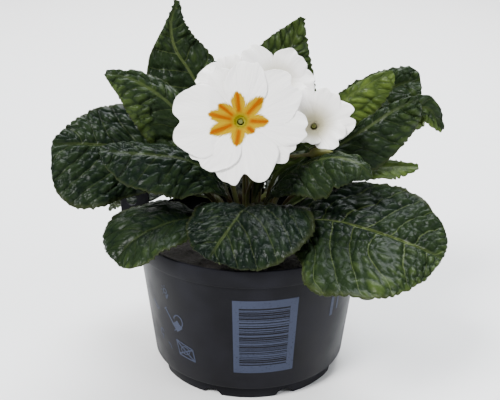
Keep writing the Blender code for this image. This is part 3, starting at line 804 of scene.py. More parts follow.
@dataclass
class Leaf:
    """One leaf: its root, the route of its midrib, its blade and its looks.

    The half widths left and right, wave, lobe and spacing are in millimetres, fold and curl in degrees, and
    stalk, widest and widest_right are shares of the way along. Facing gives the upper face's direction near
    the root, at the middle and at the tip. The tones add up to a share from dark to bright.
    """

    name: str
    ring: Ring
    azimuth: float
    route: tuple
    facing: tuple
    left: float
    right: float
    widest: float = 0.58
    widest_right: float = 0.0
    tip: float = 0.6
    fold: float = 8.0
    curl: float = -30.0
    wave: float = 1.0
    taper: float = 1.0
    stalk: float = 0.14
    shoulder: float = 2.2
    tip_right: float = 0.0
    lobe: float = 0.0
    spacing: float = 9.0
    sweep: float = 0.62
    tone: float = 0.15
    tip_tone: float = 0.1
    left_tone: float = 0.0
    right_tone: float = 0.0
    veined: float = 0.22
    pucker: float = 1.0
    rows: int = 130
    columns: int = 67
    seed: int = 0

    BLADE = 0.42
    STALK_ROWS = 14
    TOOTH = 1.0
    TOOTH_SPACING = 3.1
    BLISTER = 4.6
    WRINKLE = 2.6
    RIB_HEIGHT, BLISTER_HEIGHT, WRINKLE_HEIGHT, SINK = 1.15, 1.2, 0.22, 1.15
    MIDRIB_DEPTH, MIDRIB_WIDTH = 0.55, 1.6
    WAVES, WAVE_SLANT = 2.3, 0.37
    RIB_TAPER = 0.62

    # Uneven waves: how strong and how long each is, and what it adds to the seed
    TOOTH_PLACES, TOOTH_SIZES = (0.9, 9.0, 31), (0.5, 6.0, 41)
    VEIN_PLACES, PUCKER_SIZES, MARGIN_WAVES = (1.6, 24.0, 3), (0.35, 17.0, 9), (0.45, 8.0, 11)

    def outline(self, q: np.ndarray, u: np.ndarray) -> np.ndarray:
        """Give the blade's half width.

        Args:
            q: the share along the blade.
            u: the place across, below 0 on the left.

        Returns:
            The half width at each place, as a share of its side's largest.
        """
        widest = np.where(u < 0, self.widest, self.widest_right or self.widest)
        rise = np.clip(q / widest, 0, 1) ** self.taper
        fall = np.clip((q - widest) / (1 - widest), 0, 1)
        tip = np.where(u < 0, self.tip, self.tip_right or self.tip)
        start = 0.3 * rise + 0.7 * rise ** 2 * (3 - 2 * rise)
        return start * np.clip(1 - fall ** self.shoulder, 0, 1) ** tip

    def flat(self) -> tuple[np.ndarray, ...]:
        """Lay the leaf out flat.

        Returns:
            The share along the whole leaf, the share along the blade, the half width and the place across,
            from -1 to 1, of each point of the grid.
        """
        stalk = np.linspace(0, self.stalk, self.STALK_ROWS, endpoint=False)
        blade = np.sin(np.linspace(0, 1, self.rows) * pi / 2) ** 0.95
        t = np.concatenate([stalk, self.stalk + (1 - self.stalk) * blade])[:, None]
        middle_out = np.linspace(-1, 1, self.columns)[None, :]
        u = np.sign(middle_out) * np.abs(middle_out) ** 1.15
        q = np.clip((t - self.stalk) / (1 - self.stalk), 0, 1)
        root = self.ring.value[1]
        size = np.where(u < 0, self.left, self.right)
        width = root + (size - root) * self.outline(q, u)
        width = np.maximum(width, np.where(q > 0.5, 0.8, root))
        return t, q, width, u

    def uneven(self, x: np.ndarray, y: np.ndarray, waves: tuple, side: int = 0) -> np.ndarray:
        """Make one of the leaf's uneven waves, another for each side where a side is given."""
        strength, size, number = waves
        return strength * ripple(x, y, size, self.seed + number + side)

    def teeth(self, length: float, q: np.ndarray, width: np.ndarray, u: np.ndarray) -> tuple:
        """Push the margin out and in.

        Args:
            length: the blade's length.
            q: the share along the blade.
            width: the half width.
            u: the place across.

        Returns:
            How far each point is pushed across and along.
        """
        push = np.zeros((2, *width.shape))
        for side, column in ((-1, 0), (1, -1)):
            edge_x, edge_y = width[:, column], q[:, 0] * length
            step = np.stack([np.gradient(edge_x), np.gradient(edge_y)], axis=1)
            arc = np.concatenate([[0], np.cumsum(np.hypot(np.diff(edge_x), np.diff(edge_y)))])
            normal = np.stack([step[:, 1], -step[:, 0]], axis=1)
            normal /= np.maximum(np.linalg.norm(normal, axis=1, keepdims=True), 1e-9)
            along = arc + self.uneven(arc, 0 * arc, self.TOOTH_PLACES, side)
            bite = np.abs(np.sin(pi * along / self.TOOTH_SPACING)) ** 0.55 - 0.62
            bite *= 1 + self.uneven(arc, 0 * arc, self.TOOTH_SIZES, side)
            bite = bite * self.TOOTH * np.clip((q[:, 0] - 0.1) * 8, 0, 1)
            mask = np.where(np.sign(u) == side, np.abs(u) ** 7, 0)
            push[0] += mask * (bite * normal[:, 0])[:, None]
            push[1] += mask * (bite * normal[:, 1])[:, None]
        return push[0], push[1]

    def relief(self, x: np.ndarray, y: np.ndarray, q: np.ndarray, u: np.ndarray) -> tuple:
        """Work out the puckered surface.

        Args:
            x: the place across, in millimetres.
            y: the place along the blade, in millimetres.
            q: the share along the blade.
            u: the share across.

        Returns:
            The height, the count of side veins passed, and the blisters from 0 to 1.
        """
        far = np.abs(x)
        sweep = y - far * (self.sweep + 0.010 * far) + self.uneven(x, y, self.VEIN_PLACES)
        shift = 0.5 / (1 + np.exp(-np.clip(x / 0.4, -30, 30)))
        phase = sweep / self.spacing + shift
        blister = pillows(phase * self.spacing * 1.05, far + 40 * (x < 0), self.BLISTER, self.seed + 7)
        between_veins = np.abs(np.sin(pi * phase)) ** 0.7
        firm = np.clip(q * 6, 0, 1) * np.clip(far / 2.5, 0, 1) * np.clip((1.02 - np.abs(u)) * 5, 0.35, 1)
        sizes = 1 + self.uneven(x, y, self.PUCKER_SIZES)
        wrinkle = pillows(x + 60, y, self.WRINKLE, self.seed + 5)
        raised = self.RIB_HEIGHT * between_veins + self.BLISTER_HEIGHT * blister
        raised += self.WRINKLE_HEIGHT * wrinkle - self.SINK
        height = self.pucker * firm * sizes * raised
        height -= self.MIDRIB_DEPTH * np.exp(-(far / self.MIDRIB_WIDTH) ** 2) * np.clip(q * 5, 0, 1)
        height += self.uneven(x, y, self.MARGIN_WAVES) * np.clip(q * 5, 0, 1) * np.abs(u) ** 2
        return height, phase, blister

    def shape(self) -> tuple[np.ndarray, np.ndarray, dict[str, object]]:
        """Place the leaf's points.

        Returns:
            The points, the thickness at each, and the numbers stored on them.
        """
        bottom, way = socket(self.ring, self.azimuth)
        start, mouth = bottom + way * GAP, bottom + way * SOCKET_DEPTH
        route = smooth_route([start, mouth, mouth + way * 2.2, *self.route])
        length = np.linalg.norm(np.diff(route, axis=0), axis=1).sum()
        t, q, width, u = self.flat()
        blade_length = length * (1 - self.stalk)
        push_x, push_y = self.teeth(blade_length, q, width, u)
        even = np.linspace(0, 1, len(route))
        place = np.clip(t + push_y / length, 0, 1)
        middle = between(place, even, route)
        along = unit(between(place, even, unit(np.gradient(route, axis=0))))
        middle = middle + along * (np.clip(t + push_y / length - 1, 0, None) * length)[..., None]
        facing = unit(between(place, (0.1, 0.55, 1.0), unit(self.facing)))
        up = unit(facing - (facing * along).sum(-1, keepdims=True) * along)
        side = np.cross(along, up)
        reach = np.abs(u) + np.abs(push_x) * np.sign(push_x * np.sign(u)) / width
        fold = radians(self.fold) * np.minimum(q * 3, 1)
        bend = radians(self.curl) * np.minimum(q * 2, 1) - 1e-6
        across = width * (np.sin(fold + bend * reach) - np.sin(fold)) / bend * np.sign(u)
        height = width * (np.cos(fold) - np.cos(fold + bend * reach)) / bend
        wave = self.wave * np.sin(2 * pi * (self.WAVES * q + self.WAVE_SLANT * u))
        height = height + wave * np.abs(u) ** 3 * np.minimum(q * 3, 1) * (1 - q ** 6)
        x, y = u * width, q * blade_length + 0 * u
        puckered, phase, blister = self.relief(x, y, q, u)
        root = self.ring.value[1]
        rib = root * (1 - self.RIB_TAPER * q)
        round_rib = np.sqrt(np.clip(1 - (x / rib) ** 2, 0, 1))
        thick = self.BLADE + (2 * root * (1 - 0.75 * q) - self.BLADE) * round_rib
        sunk = 0.5 * (thick - self.BLADE) * np.clip(q * 8, 0, 1)
        height = height + puckered - sunk
        back = self.lobe * np.abs(u) ** 2 * np.sin(pi * np.clip(q / 0.4, 0, 1)) ** 2
        points = middle + across[..., None] * side + height[..., None] * up - back[..., None] * along
        edge_tone = np.where(u < 0, self.left_tone, self.right_tone) * np.abs(u) ** 1.5
        tone = self.tone + self.tip_tone * q ** 1.5 + edge_tone
        stored = {"across": x, "phase": phase, "reach": np.abs(u), "along": q, "blister": blister,
                  "tone": tone, "veined": self.veined, "stem": np.clip(1 - q * 9, 0, 1)}
        return points, thick, stored

    def build(self, upper: bpy.types.Material, under: bpy.types.Material) -> bpy.types.Object:
        """Make the leaf.

        Args:
            upper: the material of its upper face.
            under: the material of its under face.

        Returns:
            The finished piece.
        """
        points, thick, stored = self.shape()
        made = grid_object(self.name + "_blade", points, stored)
        made.data.materials.append(upper)
        made.data.materials.append(under)
        thicken(made, thick, two_faced=True)
        smooth(made)
        enlist(made, Slot.LEAF, self.name)
        return made


@dataclass(frozen=True)
class Petal:
    """One petal: its direction in degrees, its size and how it lies against its neighbours.

    The length, width and lift are in millimetres, the notch is a share of the length, and the twist is in
    degrees.
    """

    angle: float
    length: float
    width: float
    notch: float = 0.0
    lift: float = 0.0
    twist: float = 0.0


@dataclass
class Flower:
    """One flower: its throat, the way that it faces, its petals and its star."""

    name: str
    azimuth: float
    elevation: float
    cup: float
    socket: float
    throat: tuple
    petals: tuple
    rays: tuple = ()
    star_size: float = 13.5
    olive: float = 0.0
    seed: int = 0
    rows: int = 40
    columns: int = 37

    SHEET = 0.32
    TUBE = 1.95
    BORE = 1.25
    TUBE_LENGTH = 13.0
    DISC = 4.2
    CALYX = 3.2
    CALYX_LENGTH = 11.0
    STALK = 0.8
    RAY_HALF = 2.9
    EYE = 3.6
    PETAL_START = 2.1
    SINK, SLOPE = 0.55, 0.6
    ROLL, ARCH, FRILL, FINE, CREASE = 1.0, 0.9, 0.6, 0.10, 0.55

    def axes(self) -> tuple[np.ndarray, np.ndarray, np.ndarray]:
        """Find the flower's directions.

        Returns:
            Its right, its up and the way that it faces.
        """
        azimuth, elevation = radians(self.azimuth), radians(self.elevation)
        facing = np.array((sin(azimuth) * cos(elevation), -cos(azimuth) * cos(elevation), sin(elevation)))
        right = unit(np.cross((0, 0, 1), facing))
        return right, np.cross(facing, right), facing

    def place(self, x: np.ndarray, y: np.ndarray, height: np.ndarray) -> np.ndarray:
        """Turn places on the flower into points.

        Args:
            x: the place to the right of the throat, in millimetres.
            y: the place above it.
            height: the place in front of it.

        Returns:
            The points, in millimetres.
        """
        right, up, facing = self.axes()
        return np.array(self.throat) + x[..., None] * right + y[..., None] * up + height[..., None] * facing

    def star(self, x: np.ndarray, y: np.ndarray) -> tuple[np.ndarray, np.ndarray]:
        """Measure the star round the throat.

        Args:
            x: the place to the right of the throat, in millimetres.
            y: the place above it.

        Returns:
            How far inside the star each point lies, and how far it is from the middle line of its ray.
        """
        radius = np.hypot(x, y)
        inside = self.EYE - radius
        midline = np.full(x.shape, 9.0)
        for angle, size in self.rays:
            turn = radians(angle)
            out, aside = x * cos(turn) + y * sin(turn), -x * sin(turn) + y * cos(turn)
            share = np.clip(out / (size * self.star_size), 0, 1.2)
            half = self.RAY_HALF * np.clip(1 - share ** 6, -0.6, 1) * np.clip(out / 3.0, 0.1, 1) ** 0.5
            ray = np.where(out > 0, half - np.abs(aside), -9.0)
            nearer = ray > inside
            midline = np.where(nearer & (out > 1.5), np.abs(aside), midline)
            inside = np.where(nearer, ray, inside)
        return inside, midline

    def stored(self, x: np.ndarray, y: np.ndarray, bearing: float | np.ndarray, layer: float) -> dict:
        """List the numbers that the petals' finish reads.

        Args:
            x: the place to the right of the throat, in millimetres.
            y: the place above it.
            bearing: the place across the petal, as seen from the throat.
            layer: a number of the petal's own.

        Returns:
            The numbers at each point, by name.
        """
        inside, midline = self.star(x, y)
        return {"star": inside if self.rays else inside - 9, "midline": midline, "radius": np.hypot(x, y),
                "bearing": bearing, "layer": layer, "olive": self.olive}

    def petal_points(self, petal: Petal, layer: int) -> tuple[np.ndarray, dict[str, object]]:
        """Place one petal's points.

        Args:
            petal: the petal.
            layer: its number in the flower.

        Returns:
            The points and the numbers stored on them.
        """
        s = np.linspace(0, 1, self.rows)[:, None] ** 0.9
        v = np.linspace(-1, 1, self.columns)[None, :]
        seed = self.seed + 17 * layer
        edge = 1 - 0.30 * np.abs(v) ** 3.6 - petal.notch * np.exp(-(v / 0.2) ** 2)
        edge = edge + 0.013 * ripple(v, 0 * v, 0.45, seed + 1)
        out = self.PETAL_START + (petal.length * edge - self.PETAL_START) * s
        width = petal.width / 2 * (0.16 + 0.84 * np.sin(np.minimum(s * 1.25, 1) * pi / 2) ** 0.9)
        aside = v * width * (1 - 0.14 * s ** 6)
        free = np.clip((out - self.DISC) / (petal.length - self.DISC), 0, 1)
        height = -self.SINK - self.SLOPE * np.clip(self.DISC - out, 0, None)
        height = height + self.cup * free ** 1.3 - self.ROLL * free ** 5
        height = height + petal.lift * np.clip(free * 3, 0, 1) + np.tan(radians(petal.twist)) * aside * free
        height = height + 0.3 * np.cos(v * 2.5 * pi) * s ** 2 + petal.angle * 0.0003
        height = height - self.ARCH * v ** 2 * free
        frill = self.FRILL * ripple(v, s * 0.6, 0.55, seed + 2) * s ** 3 * (0.35 + 0.5 * np.abs(v))
        fine = self.FINE * ripple(v, 0.15 * s, 0.13, seed + 3) * free
        crease = self.CREASE * np.exp(-(v / 0.13) ** 2) * free ** 0.7 * (petal.notch > 0.1)
        height = height + frill + fine - crease
        turn = radians(petal.angle)
        x = out * cos(turn) - aside * sin(turn)
        y = out * sin(turn) + aside * cos(turn)
        return self.place(x, y, height), self.stored(x, y, aside / np.maximum(out, 3.0), layer * 3.7)

    def corolla(self, finish: bpy.types.Material) -> bpy.types.Object:
        """Make the petals and their tube.

        Args:
            finish: the petals' material.

        Returns:
            The finished piece.
        """
        parts = []
        for layer, petal in enumerate(self.petals):
            points, stored = self.petal_points(petal, layer)
            part = grid_object(f"{self.name}_petal_{layer}", points, stored)
            part.data.materials.append(finish)
            thicken(part, np.full(points.shape[:2], self.SHEET))
            parts.append(part)
        parts.append(self.throat_tube(finish))
        made = join(parts)
        made.name = self.name + "_corolla"
        smooth(made)
        enlist(made, Slot.PETAL, self.name + "_petals")
        return made

    def throat_tube(self, finish: bpy.types.Material) -> bpy.types.Object:
        """Make the tube behind the petals, with its flared mouth.

        Args:
            finish: the petals' material.

        Returns:
            The tube.
        """
        profile = [(self.BORE, -self.TUBE_LENGTH), (self.TUBE, -self.TUBE_LENGTH), (self.TUBE, -3.5),
                   (2.6, -2.5), (self.DISC, -1.4), (self.DISC + 0.05, -1.05), (self.DISC, -0.8), (3.2, -1.1),
                   (2.4, -1.5), (1.7, -2.1), (self.BORE, -2.8), (self.BORE, -self.TUBE_LENGTH)]
        angles = np.linspace(0, 2 * pi, 49)
        wide, height = (np.array(column)[:, None] for column in zip(*profile))
        x, y = wide * np.cos(angles), wide * np.sin(angles)
        made = grid_object(self.name + "_tube", self.place(x, y, height), self.stored(x, y, 0.0, 0.0))
        made.data.materials.append(finish)
        close_seam(made)
        return made

    def stem(self, finish: bpy.types.Material) -> bpy.types.Object:
        """Make the stalk with its calyx, style and stigma.

        Args:
            finish: the stalk's material.

        Returns:
            The finished piece.
        """
        right, _, facing = self.axes()
        throat = np.array(self.throat, float)
        foot, way = socket(Ring.TOP, self.socket)
        base = throat - facing * (self.TUBE_LENGTH + 2.0)
        route = smooth_route([foot + way * GAP, foot + way * 5, foot + way * 14 + (base - foot) * 0.12,
                              base - facing * 5 - np.array((0, 0, 2.0)), base], 60)
        along = np.gradient(route, axis=0)
        rings = [ring_points(route[i], along[i], self.STALK, right) for i in range(0, 58, 2)]
        ribs = five_ribs()
        teeth = np.where(ribs > 0, 1.9 * ribs, 0.8 * ribs)[:, None] * facing

        def on_axis(height: float, radius: float | np.ndarray) -> np.ndarray:
            """Place a ring on the flower's axis, at a height over its throat."""
            return ring_points(throat + facing * height, facing, radius, right)

        floor = -self.TUBE_LENGTH - GAP
        top = floor + self.CALYX_LENGTH - 2.5
        bore = self.TUBE + GAP + 0.1
        tones = [0.0] * len(rings)
        wall = [(floor - 1.6, self.STALK + 0.2, 0.3), (floor - 0.9, self.CALYX - 1.5, 0.5),
                (floor - 0.2, self.CALYX - 0.5, 0.6), (floor + 1.6, self.CALYX, 0.6),
                (floor + 4.5, self.CALYX - 0.1, 0.5), (top - 1.5, self.CALYX - 0.1, 0.5)]
        for height, radius, tone in wall:
            rings.append(on_axis(height, radius * (1 + 0.07 * ribs * (radius > 2.3))))
            tones.append(tone)
        for height, radius, tone in ((top, self.CALYX, 0.4), (top + 0.2, self.CALYX - 0.3, 0.5)):
            rings.append(on_axis(height, radius) + teeth)
            tones.append(tone)
        rings.append(on_axis(top, bore + 0.1) + 0.6 * teeth)
        rest = [(floor + 2, bore), (floor, bore), (floor, 0.5), (-3.4, 0.5), (-3.1, 0.75), (-2.7, 0.88),
                (-2.1, 1.0), (-1.8, 0.95), (-1.65, 0.7), (-1.75, 0.3)]
        rings += [on_axis(height, radius) for height, radius in rest]
        tones += [0.5] + [0.35] * len(rest)
        made = tube(self.name + "_stem", rings, tones)
        made.data.materials.append(finish)
        smooth(made, 60)
        enlist(made, Slot.STALK, self.name + "_stalk")
        return made


@dataclass
class Bud:
    """The closed bud on its stalk."""

    socket: float = 240
    route: tuple = ((-1, -4.5, 82), (4, -9, 93), (14, -13, 100.5), (27, -14, 102.5))
    radius: float = 2.2
    length: float = 8.0
    stalk: float = 0.72

    def build(self, finish: bpy.types.Material) -> bpy.types.Object:
        """Make the bud.

        Args:
            finish: its material.

        Returns:
            The finished piece.
        """
        foot, way = socket(Ring.TOP, self.socket)
        route = smooth_route([foot + way * GAP, foot + way * 5, *self.route], 60)
        along = np.gradient(route, axis=0)
        guide = np.array((1.0, 0, 0))
        ribs = 1 + 0.1 * five_ribs()
        rings = [ring_points(route[i], along[i], self.stalk, guide) for i in range(0, 53, 2)]
        tones = list(np.linspace(0.0, 0.1, len(rings)))
        tip, ahead = route[-1], unit(along[-1])
        for share in np.linspace(0, 1, 12):
            wide = self.radius * sin(pi * share ** 0.8) ** 0.8 * (1 - 0.3 * share) + 0.25 + 0.6 * (1 - share)
            height = -2.0 + (self.length + 2.0) * share
            rings.append(ring_points(tip + ahead * height, ahead, wide * ribs, guide))
            tones.append(0.15 + 0.6 * share)
        made = tube("bud_closed", rings, tones)
        made.data.materials.append(finish)
        smooth(made)
        enlist(made, Slot.STALK, "bud")
        return made


@dataclass
class Pot:
    """The pot: a tapered wall under a stepped rim, a floor, notched feet, a label tab and its print."""

    sides: int = 160
    rim_top: float = 65.0
    rim_radius: float = 51.3
    band_bottom: float = 57.0
    wall_top_radius: float = 50.0
    wall_bottom: float = 6.5
    wall_bottom_radius: float = 44.1
    wall: float = 1.1
    foot_radius: float = 41.2
    foot_width: float = 7.0
    floor_top: float = 7.0
    feet: int = 8
    notch: float = 9.0
    drain: float = 1.8
    drain_ring: float = 30.0
    tab_azimuth: float = 176.0
    tab_size: tuple = (13, 1.6, 21)
    tab_middle: tuple = (52.5, 0, 71.5)
    tab_hole: tuple = (54.0, 75.0, 2.6)
    bar_seed: int = 5
    ink: float = 0.06

    def profile(self) -> list[tuple[float, float]]:
        """List the pot's outline, from the middle of its underside, up the outside and down the inside.

        Returns:
            The outline's points, each a radius and a height.
        """
        foot_in, inner = self.foot_radius - self.foot_width, self.wall_bottom_radius - self.wall
        under = self.floor_top - 1.5
        return [
            (0.5, under), (foot_in - 0.4, under), (foot_in, under - 0.4), (foot_in, 0.3), (foot_in + 0.3, 0),
            (self.foot_radius - 0.8, 0), (self.foot_radius - 0.25, 0.2), (self.foot_radius, 0.8),
            (self.foot_radius, self.wall_bottom - 1.0), (self.foot_radius + 0.4, self.wall_bottom - 0.6),
            (self.wall_bottom_radius - 1.2, self.wall_bottom - 0.45),
            (self.wall_bottom_radius - 0.35, self.wall_bottom - 0.15),
            (self.wall_bottom_radius, self.wall_bottom + 0.5),
            (self.wall_top_radius - 0.1, self.band_bottom - 0.6), (self.wall_top_radius, self.band_bottom),
            (self.wall_top_radius + 0.35, self.band_bottom + 0.3),
            (self.rim_radius - 0.25, self.band_bottom + 0.55), (self.rim_radius, self.band_bottom + 0.95),
            (self.rim_radius, self.rim_top - 0.6), (self.rim_radius - 0.15, self.rim_top - 0.2),
            (self.rim_radius - 0.45, self.rim_top), (self.rim_radius - self.wall + 0.2, self.rim_top),
            (self.rim_radius - self.wall, self.rim_top - 0.25),
            (self.rim_radius - self.wall - 0.3, self.band_bottom + 1.0),
            (self.wall_top_radius - self.wall, self.band_bottom - 1.0), (inner, self.floor_top + 0.6),
            (inner - 0.6, self.floor_top), (0.5, self.floor_top),
        ]

    def turn(self, name: str, profile: list[tuple[float, float]]) -> bpy.types.Object:
        """Raise a profile round the pot's axis, closed at both ends.

        Args:
            name: the object's name.
            profile: its points, each a radius and a height.

        Returns:
            The new object.
        """
        radius, height = profile[0]
        bpy.ops.object.select_all(action="DESELECT")
        bpy.ops.mesh.primitive_circle_add(vertices=self.sides, radius=radius * MM, fill_type="NOTHING",
                                          location=(0, 0, height * MM))
        made = bpy.context.object
        made.name = name
        bpy.ops.object.transform_apply(location=True)
        bpy.ops.object.mode_set(mode="EDIT")
        bpy.ops.mesh.select_all(action="SELECT")
        bpy.ops.mesh.edge_face_add()
        bpy.ops.mesh.select_all(action="SELECT")
        for (last, low), (wide, high) in zip(profile, profile[1:]):
            bpy.ops.mesh.extrude_region_move(TRANSFORM_OT_translate={"value": (0, 0, (high - low) * MM)})
            bpy.ops.transform.resize(value=(wide / last, wide / last, 1), center_override=(0, 0, high * MM))
        bpy.ops.mesh.select_all(action="SELECT")
        bpy.ops.mesh.normals_make_consistent(inside=False)
        bpy.ops.object.mode_set(mode="OBJECT")
        return made

    def cut(self, made: bpy.types.Object, cutter: bpy.types.Object) -> None:
        """Cut one object out of another, and remove the cutter.

        Args:
            made: the object that is cut.
            cutter: the object that is cut out of it.
        """
        change = made.modifiers.new("cut", "BOOLEAN")
        change.operation = "DIFFERENCE"
        change.object = cutter
        select_only(made)
        bpy.ops.object.modifier_apply(modifier="cut")
        bpy.data.objects.remove(cutter)

    def cylinder(self, radius: float, length: float, middle: tuple, turn: tuple,
                 sides: int) -> bpy.types.Object:
        """Add a cylinder, with its place in its mesh.

        Args:
            radius: its radius, in millimetres.
            length: its length.
            middle: its middle.
            turn: its rotation about the three axes.
            sides: how many sides it has.

        Returns:
            The cylinder.
        """
        bpy.ops.object.select_all(action="DESELECT")
        bpy.ops.mesh.primitive_cylinder_add(
            vertices=sides, radius=radius * MM, depth=length * MM, location=[part * MM for part in middle],
            rotation=turn)
        bpy.ops.object.transform_apply(location=True, rotation=True)
        return bpy.context.object

    def body(self, finish: bpy.types.Material) -> bpy.types.Object:
        """Make the pot with its notches, drain holes and tab.

        Args:
            finish: the plastic.

        Returns:
            The finished piece.
        """
        made = self.turn("pot_moulded", self.profile())
        cutters = []
        for index in range(self.feet):
            angle = 2 * pi * (index + 0.5) / self.feet - pi / 2
            way = (cos(angle), sin(angle))
            cutters.append(self.cylinder(self.notch / 2, 20, (way[0] * 40, way[1] * 40, -1.6),
                                         (0, pi / 2, angle), 40))
            hole = (way[0] * self.drain_ring, way[1] * self.drain_ring, self.floor_top - 1)
            cutters.append(self.cylinder(self.drain, 12, hole, (0, 0, 0), 24))
        self.cut(made, join(cutters))
        made = join([made, self.tab()])
        made.data.materials.clear()
        made.data.materials.append(finish)
        smooth(made, 35)
        enlist(made, Slot.POT, "pot")
        return made

    def tab(self) -> bpy.types.Object:
        """Make the label tab, an upright plate on the rim with rounded corners and a hole.

        Returns:
            The tab.
        """
        bpy.ops.object.select_all(action="DESELECT")
        bpy.ops.mesh.primitive_cube_add(size=1)
        plate = bpy.context.object
        bpy.ops.transform.resize(value=[side * MM for side in self.tab_size])
        bpy.ops.transform.translate(value=[part * MM for part in self.tab_middle])
        bpy.ops.object.transform_apply(location=True, rotation=True, scale=True)
        for name, wide, steps in (("corners", 1.6, 4), ("edges", 0.3, 2)):
            rounding = plate.modifiers.new(name, "BEVEL")
            rounding.width = wide * MM
            rounding.segments = steps
            if name == "corners":
                rounding.limit_method = "WEIGHT"
        weights = plate.data.attributes.new("bevel_weight_edge", "FLOAT", "EDGE")
        for edge in plate.data.edges:
            first, second = (plate.data.vertices[i].co for i in edge.vertices)
            weights.data[edge.index].value = float(abs(first.y - second.y) > 0.5 * MM)
        select_only(plate)
        bpy.ops.object.modifier_apply(modifier="corners")
        bpy.ops.object.modifier_apply(modifier="edges")
        reach, height, radius = self.tab_hole
        self.cut(plate, self.cylinder(radius, 8, (reach, 0, height), (pi / 2, 0, 0), 32))
        plate.data.transform(Matrix.Rotation(radians(self.tab_azimuth), 4, "Z"))
        return plate

    def wall_radius(self, height: np.ndarray) -> np.ndarray:
        """Give the wall's outer radius at some heights."""
        low, high = self.wall_bottom + 0.5, self.band_bottom - 0.6
        return np.interp(height, (low, high), (self.wall_bottom_radius, self.wall_top_radius - 0.1))

    def stroke(self, start: tuple, end: tuple, wide: float) -> bpy.types.Object:
        """Print one straight stroke on the wall.

        Args:
            start: its first point, as degrees from the front and height.
            end: its last point.
            wide: its width, in millimetres.

        Returns:
            The stroke, a thin closed patch that follows the wall.
        """
        scale = self.wall_radius(np.array(30.0)) * pi / 180
        first, last = (np.array((point[0] * scale, point[1])) for point in (start, end))
        ahead = unit(last - first)
        beside = np.array((-ahead[1], ahead[0]))
        steps = max(2, int(np.linalg.norm(last - first) / 1.2) + 1)
        share = np.linspace(0, 1, steps)[:, None, None]
        aside = np.linspace(-0.5, 0.5, max(2, int(wide / 1.2) + 1))[None, :, None] * wide
        flat = first + share * (last - first) + aside * beside
        azimuth = flat[..., 0] / scale * pi / 180
        radius = self.wall_radius(flat[..., 1]) + 0.02
        points = np.stack([radius * np.sin(azimuth), -radius * np.cos(azimuth), flat[..., 1]], axis=-1)
        outward = np.stack([np.sin(azimuth), -np.cos(azimuth), 0 * azimuth], axis=-1)
        across = np.cross(points[0, 1] - points[0, 0], points[1, 0] - points[0, 0])
        if np.dot(across, outward[0, 0]) < 0:
            points = points[:, ::-1]
        made = grid_object("stroke", points, {})
        thicken(made, np.full(points.shape[:2], self.ink))
        return made

    def line(self, points: list[tuple], wide: float) -> list[bpy.types.Object]:
        """Print a line of strokes through some points."""
        return [self.stroke(a, b, wide) for a, b in zip(points, points[1:])]

    def arc(self, centre: tuple, size: tuple, start: float, end: float, wide: float) -> list:
        """Print an arc.

        Args:
            centre: its middle, as degrees from the front and height.
            size: its half width in degrees and its half height in millimetres.
            start: the angle that it starts at, in degrees.
            end: the angle that it ends at.
            wide: the stroke's width.

        Returns:
            The strokes.
        """
        turns = np.radians(np.linspace(start, end, 9))
        points = [(centre[0] + size[0] * cos(a), centre[1] + size[1] * sin(a)) for a in turns]
        return self.line(points, wide)

    def bars(self) -> list[bpy.types.Object]:
        """Print the panel: a frame round uneven stripes.

        Returns:
            The strokes.
        """
        left, right, low, high = -8.0, 24.5, 15.0, 51.0
        across, upright = ((49.5, 3.0), (16.9, 3.8)), ((-6.5, 2.6), (22.4, 3.3))
        strokes = [self.stroke((left, place), (right, place), wide) for place, wide in across]
        strokes += [self.stroke((place, low), (place, high), wide) for place, wide in upright]
        draw = np.random.default_rng(self.bar_seed)
        height = 19.4
        while height < 47.4:
            wide = float(draw.choice((0.22, 0.35, 0.6, 0.95)))
            strokes.append(self.stroke((-5.0, height + wide / 2), (20.3, height + wide / 2), wide))
            height += wide + float(draw.choice((0.3, 0.45, 0.75)))
        return strokes

    def icons(self) -> list[bpy.types.Object]:
        """Print the small plain signs: a watering can, a crossed box, a sun, a drop and a leaf.

        Returns:
            The strokes.
        """
        can = [self.stroke((-42.5, 30.6), (-38.6, 33.2), 4.2)]
        can += self.arc((-39.6, 34.6), (3.1, 3.0), -50, 170, 0.55)
        can += self.line([(-43.5, 32.5), (-48.5, 38.6)], 0.8)
        can += self.line([(-49.4, 38.0), (-47.6, 39.3)], 0.6)
        can += self.line([(-43.2, 29.0), (-38.0, 32.4)], 0.5)
        box = self.line([(-42.5, 24.6), (-31.5, 22.4), (-30.4, 16.4), (-41.0, 17.6), (-42.5, 24.6)], 0.6)
        box += self.line([(-42.0, 24.0), (-31.0, 16.8)], 0.7)
        box += self.line([(-41.0, 18.0), (-32.0, 22.0)], 0.7)
        box += self.arc((-36.6, 20.6), (3.0, 2.0), 0, 360, 0.45)
        sun = self.arc((-47.0, 47.5), (1.3, 1.2), 0, 360, 0.5)
        sun += self.line([(-46.5, 44.0), (-45.0, 46.4)], 0.9)
        for angle in range(90, 271, 45):
            way = (cos(radians(angle)), sin(radians(angle)))
            sun += self.line([(-47 + 2.1 * way[0], 47.5 + 1.9 * way[1]),
                              (-47 + 3.1 * way[0], 47.5 + 2.8 * way[1])], 0.35)
        drop = self.line([(-60.5, 39.0), (-57.0, 36.4)], 0.9)
        drop += self.arc((-57.0, 36.6), (1.6, 1.2), 200, 380, 0.5)
        leaf = self.arc((-55.6, 24.0), (1.8, 1.6), 20, 300, 0.6)
        leaf += self.line([(-56, 20.4), (-54.6, 23.0)], 0.4)
        mark = self.line([(-50.5, 20.6), (-48.6, 19.8), (-47.8, 18.0)], 0.5)
        side = [self.stroke((47.4, 36.0), (47.4, 45.0), 1.8), self.stroke((52.0, 38.0), (52.0, 45.0), 1.0)]
        return can + box + sun + drop + leaf + mark + side

    def prints(self, finish: bpy.types.Material) -> bpy.types.Object:
        """Make the pale print on the wall.

        Args:
            finish: the ink.

        Returns:
            The finished piece.
        """
        made = join(self.bars() + self.icons())
        made.name = "pot_print"
        made.data.materials.clear()
        made.data.materials.append(finish)
        smooth(made, 40)
        enlist(made, Slot.POT)
        return made


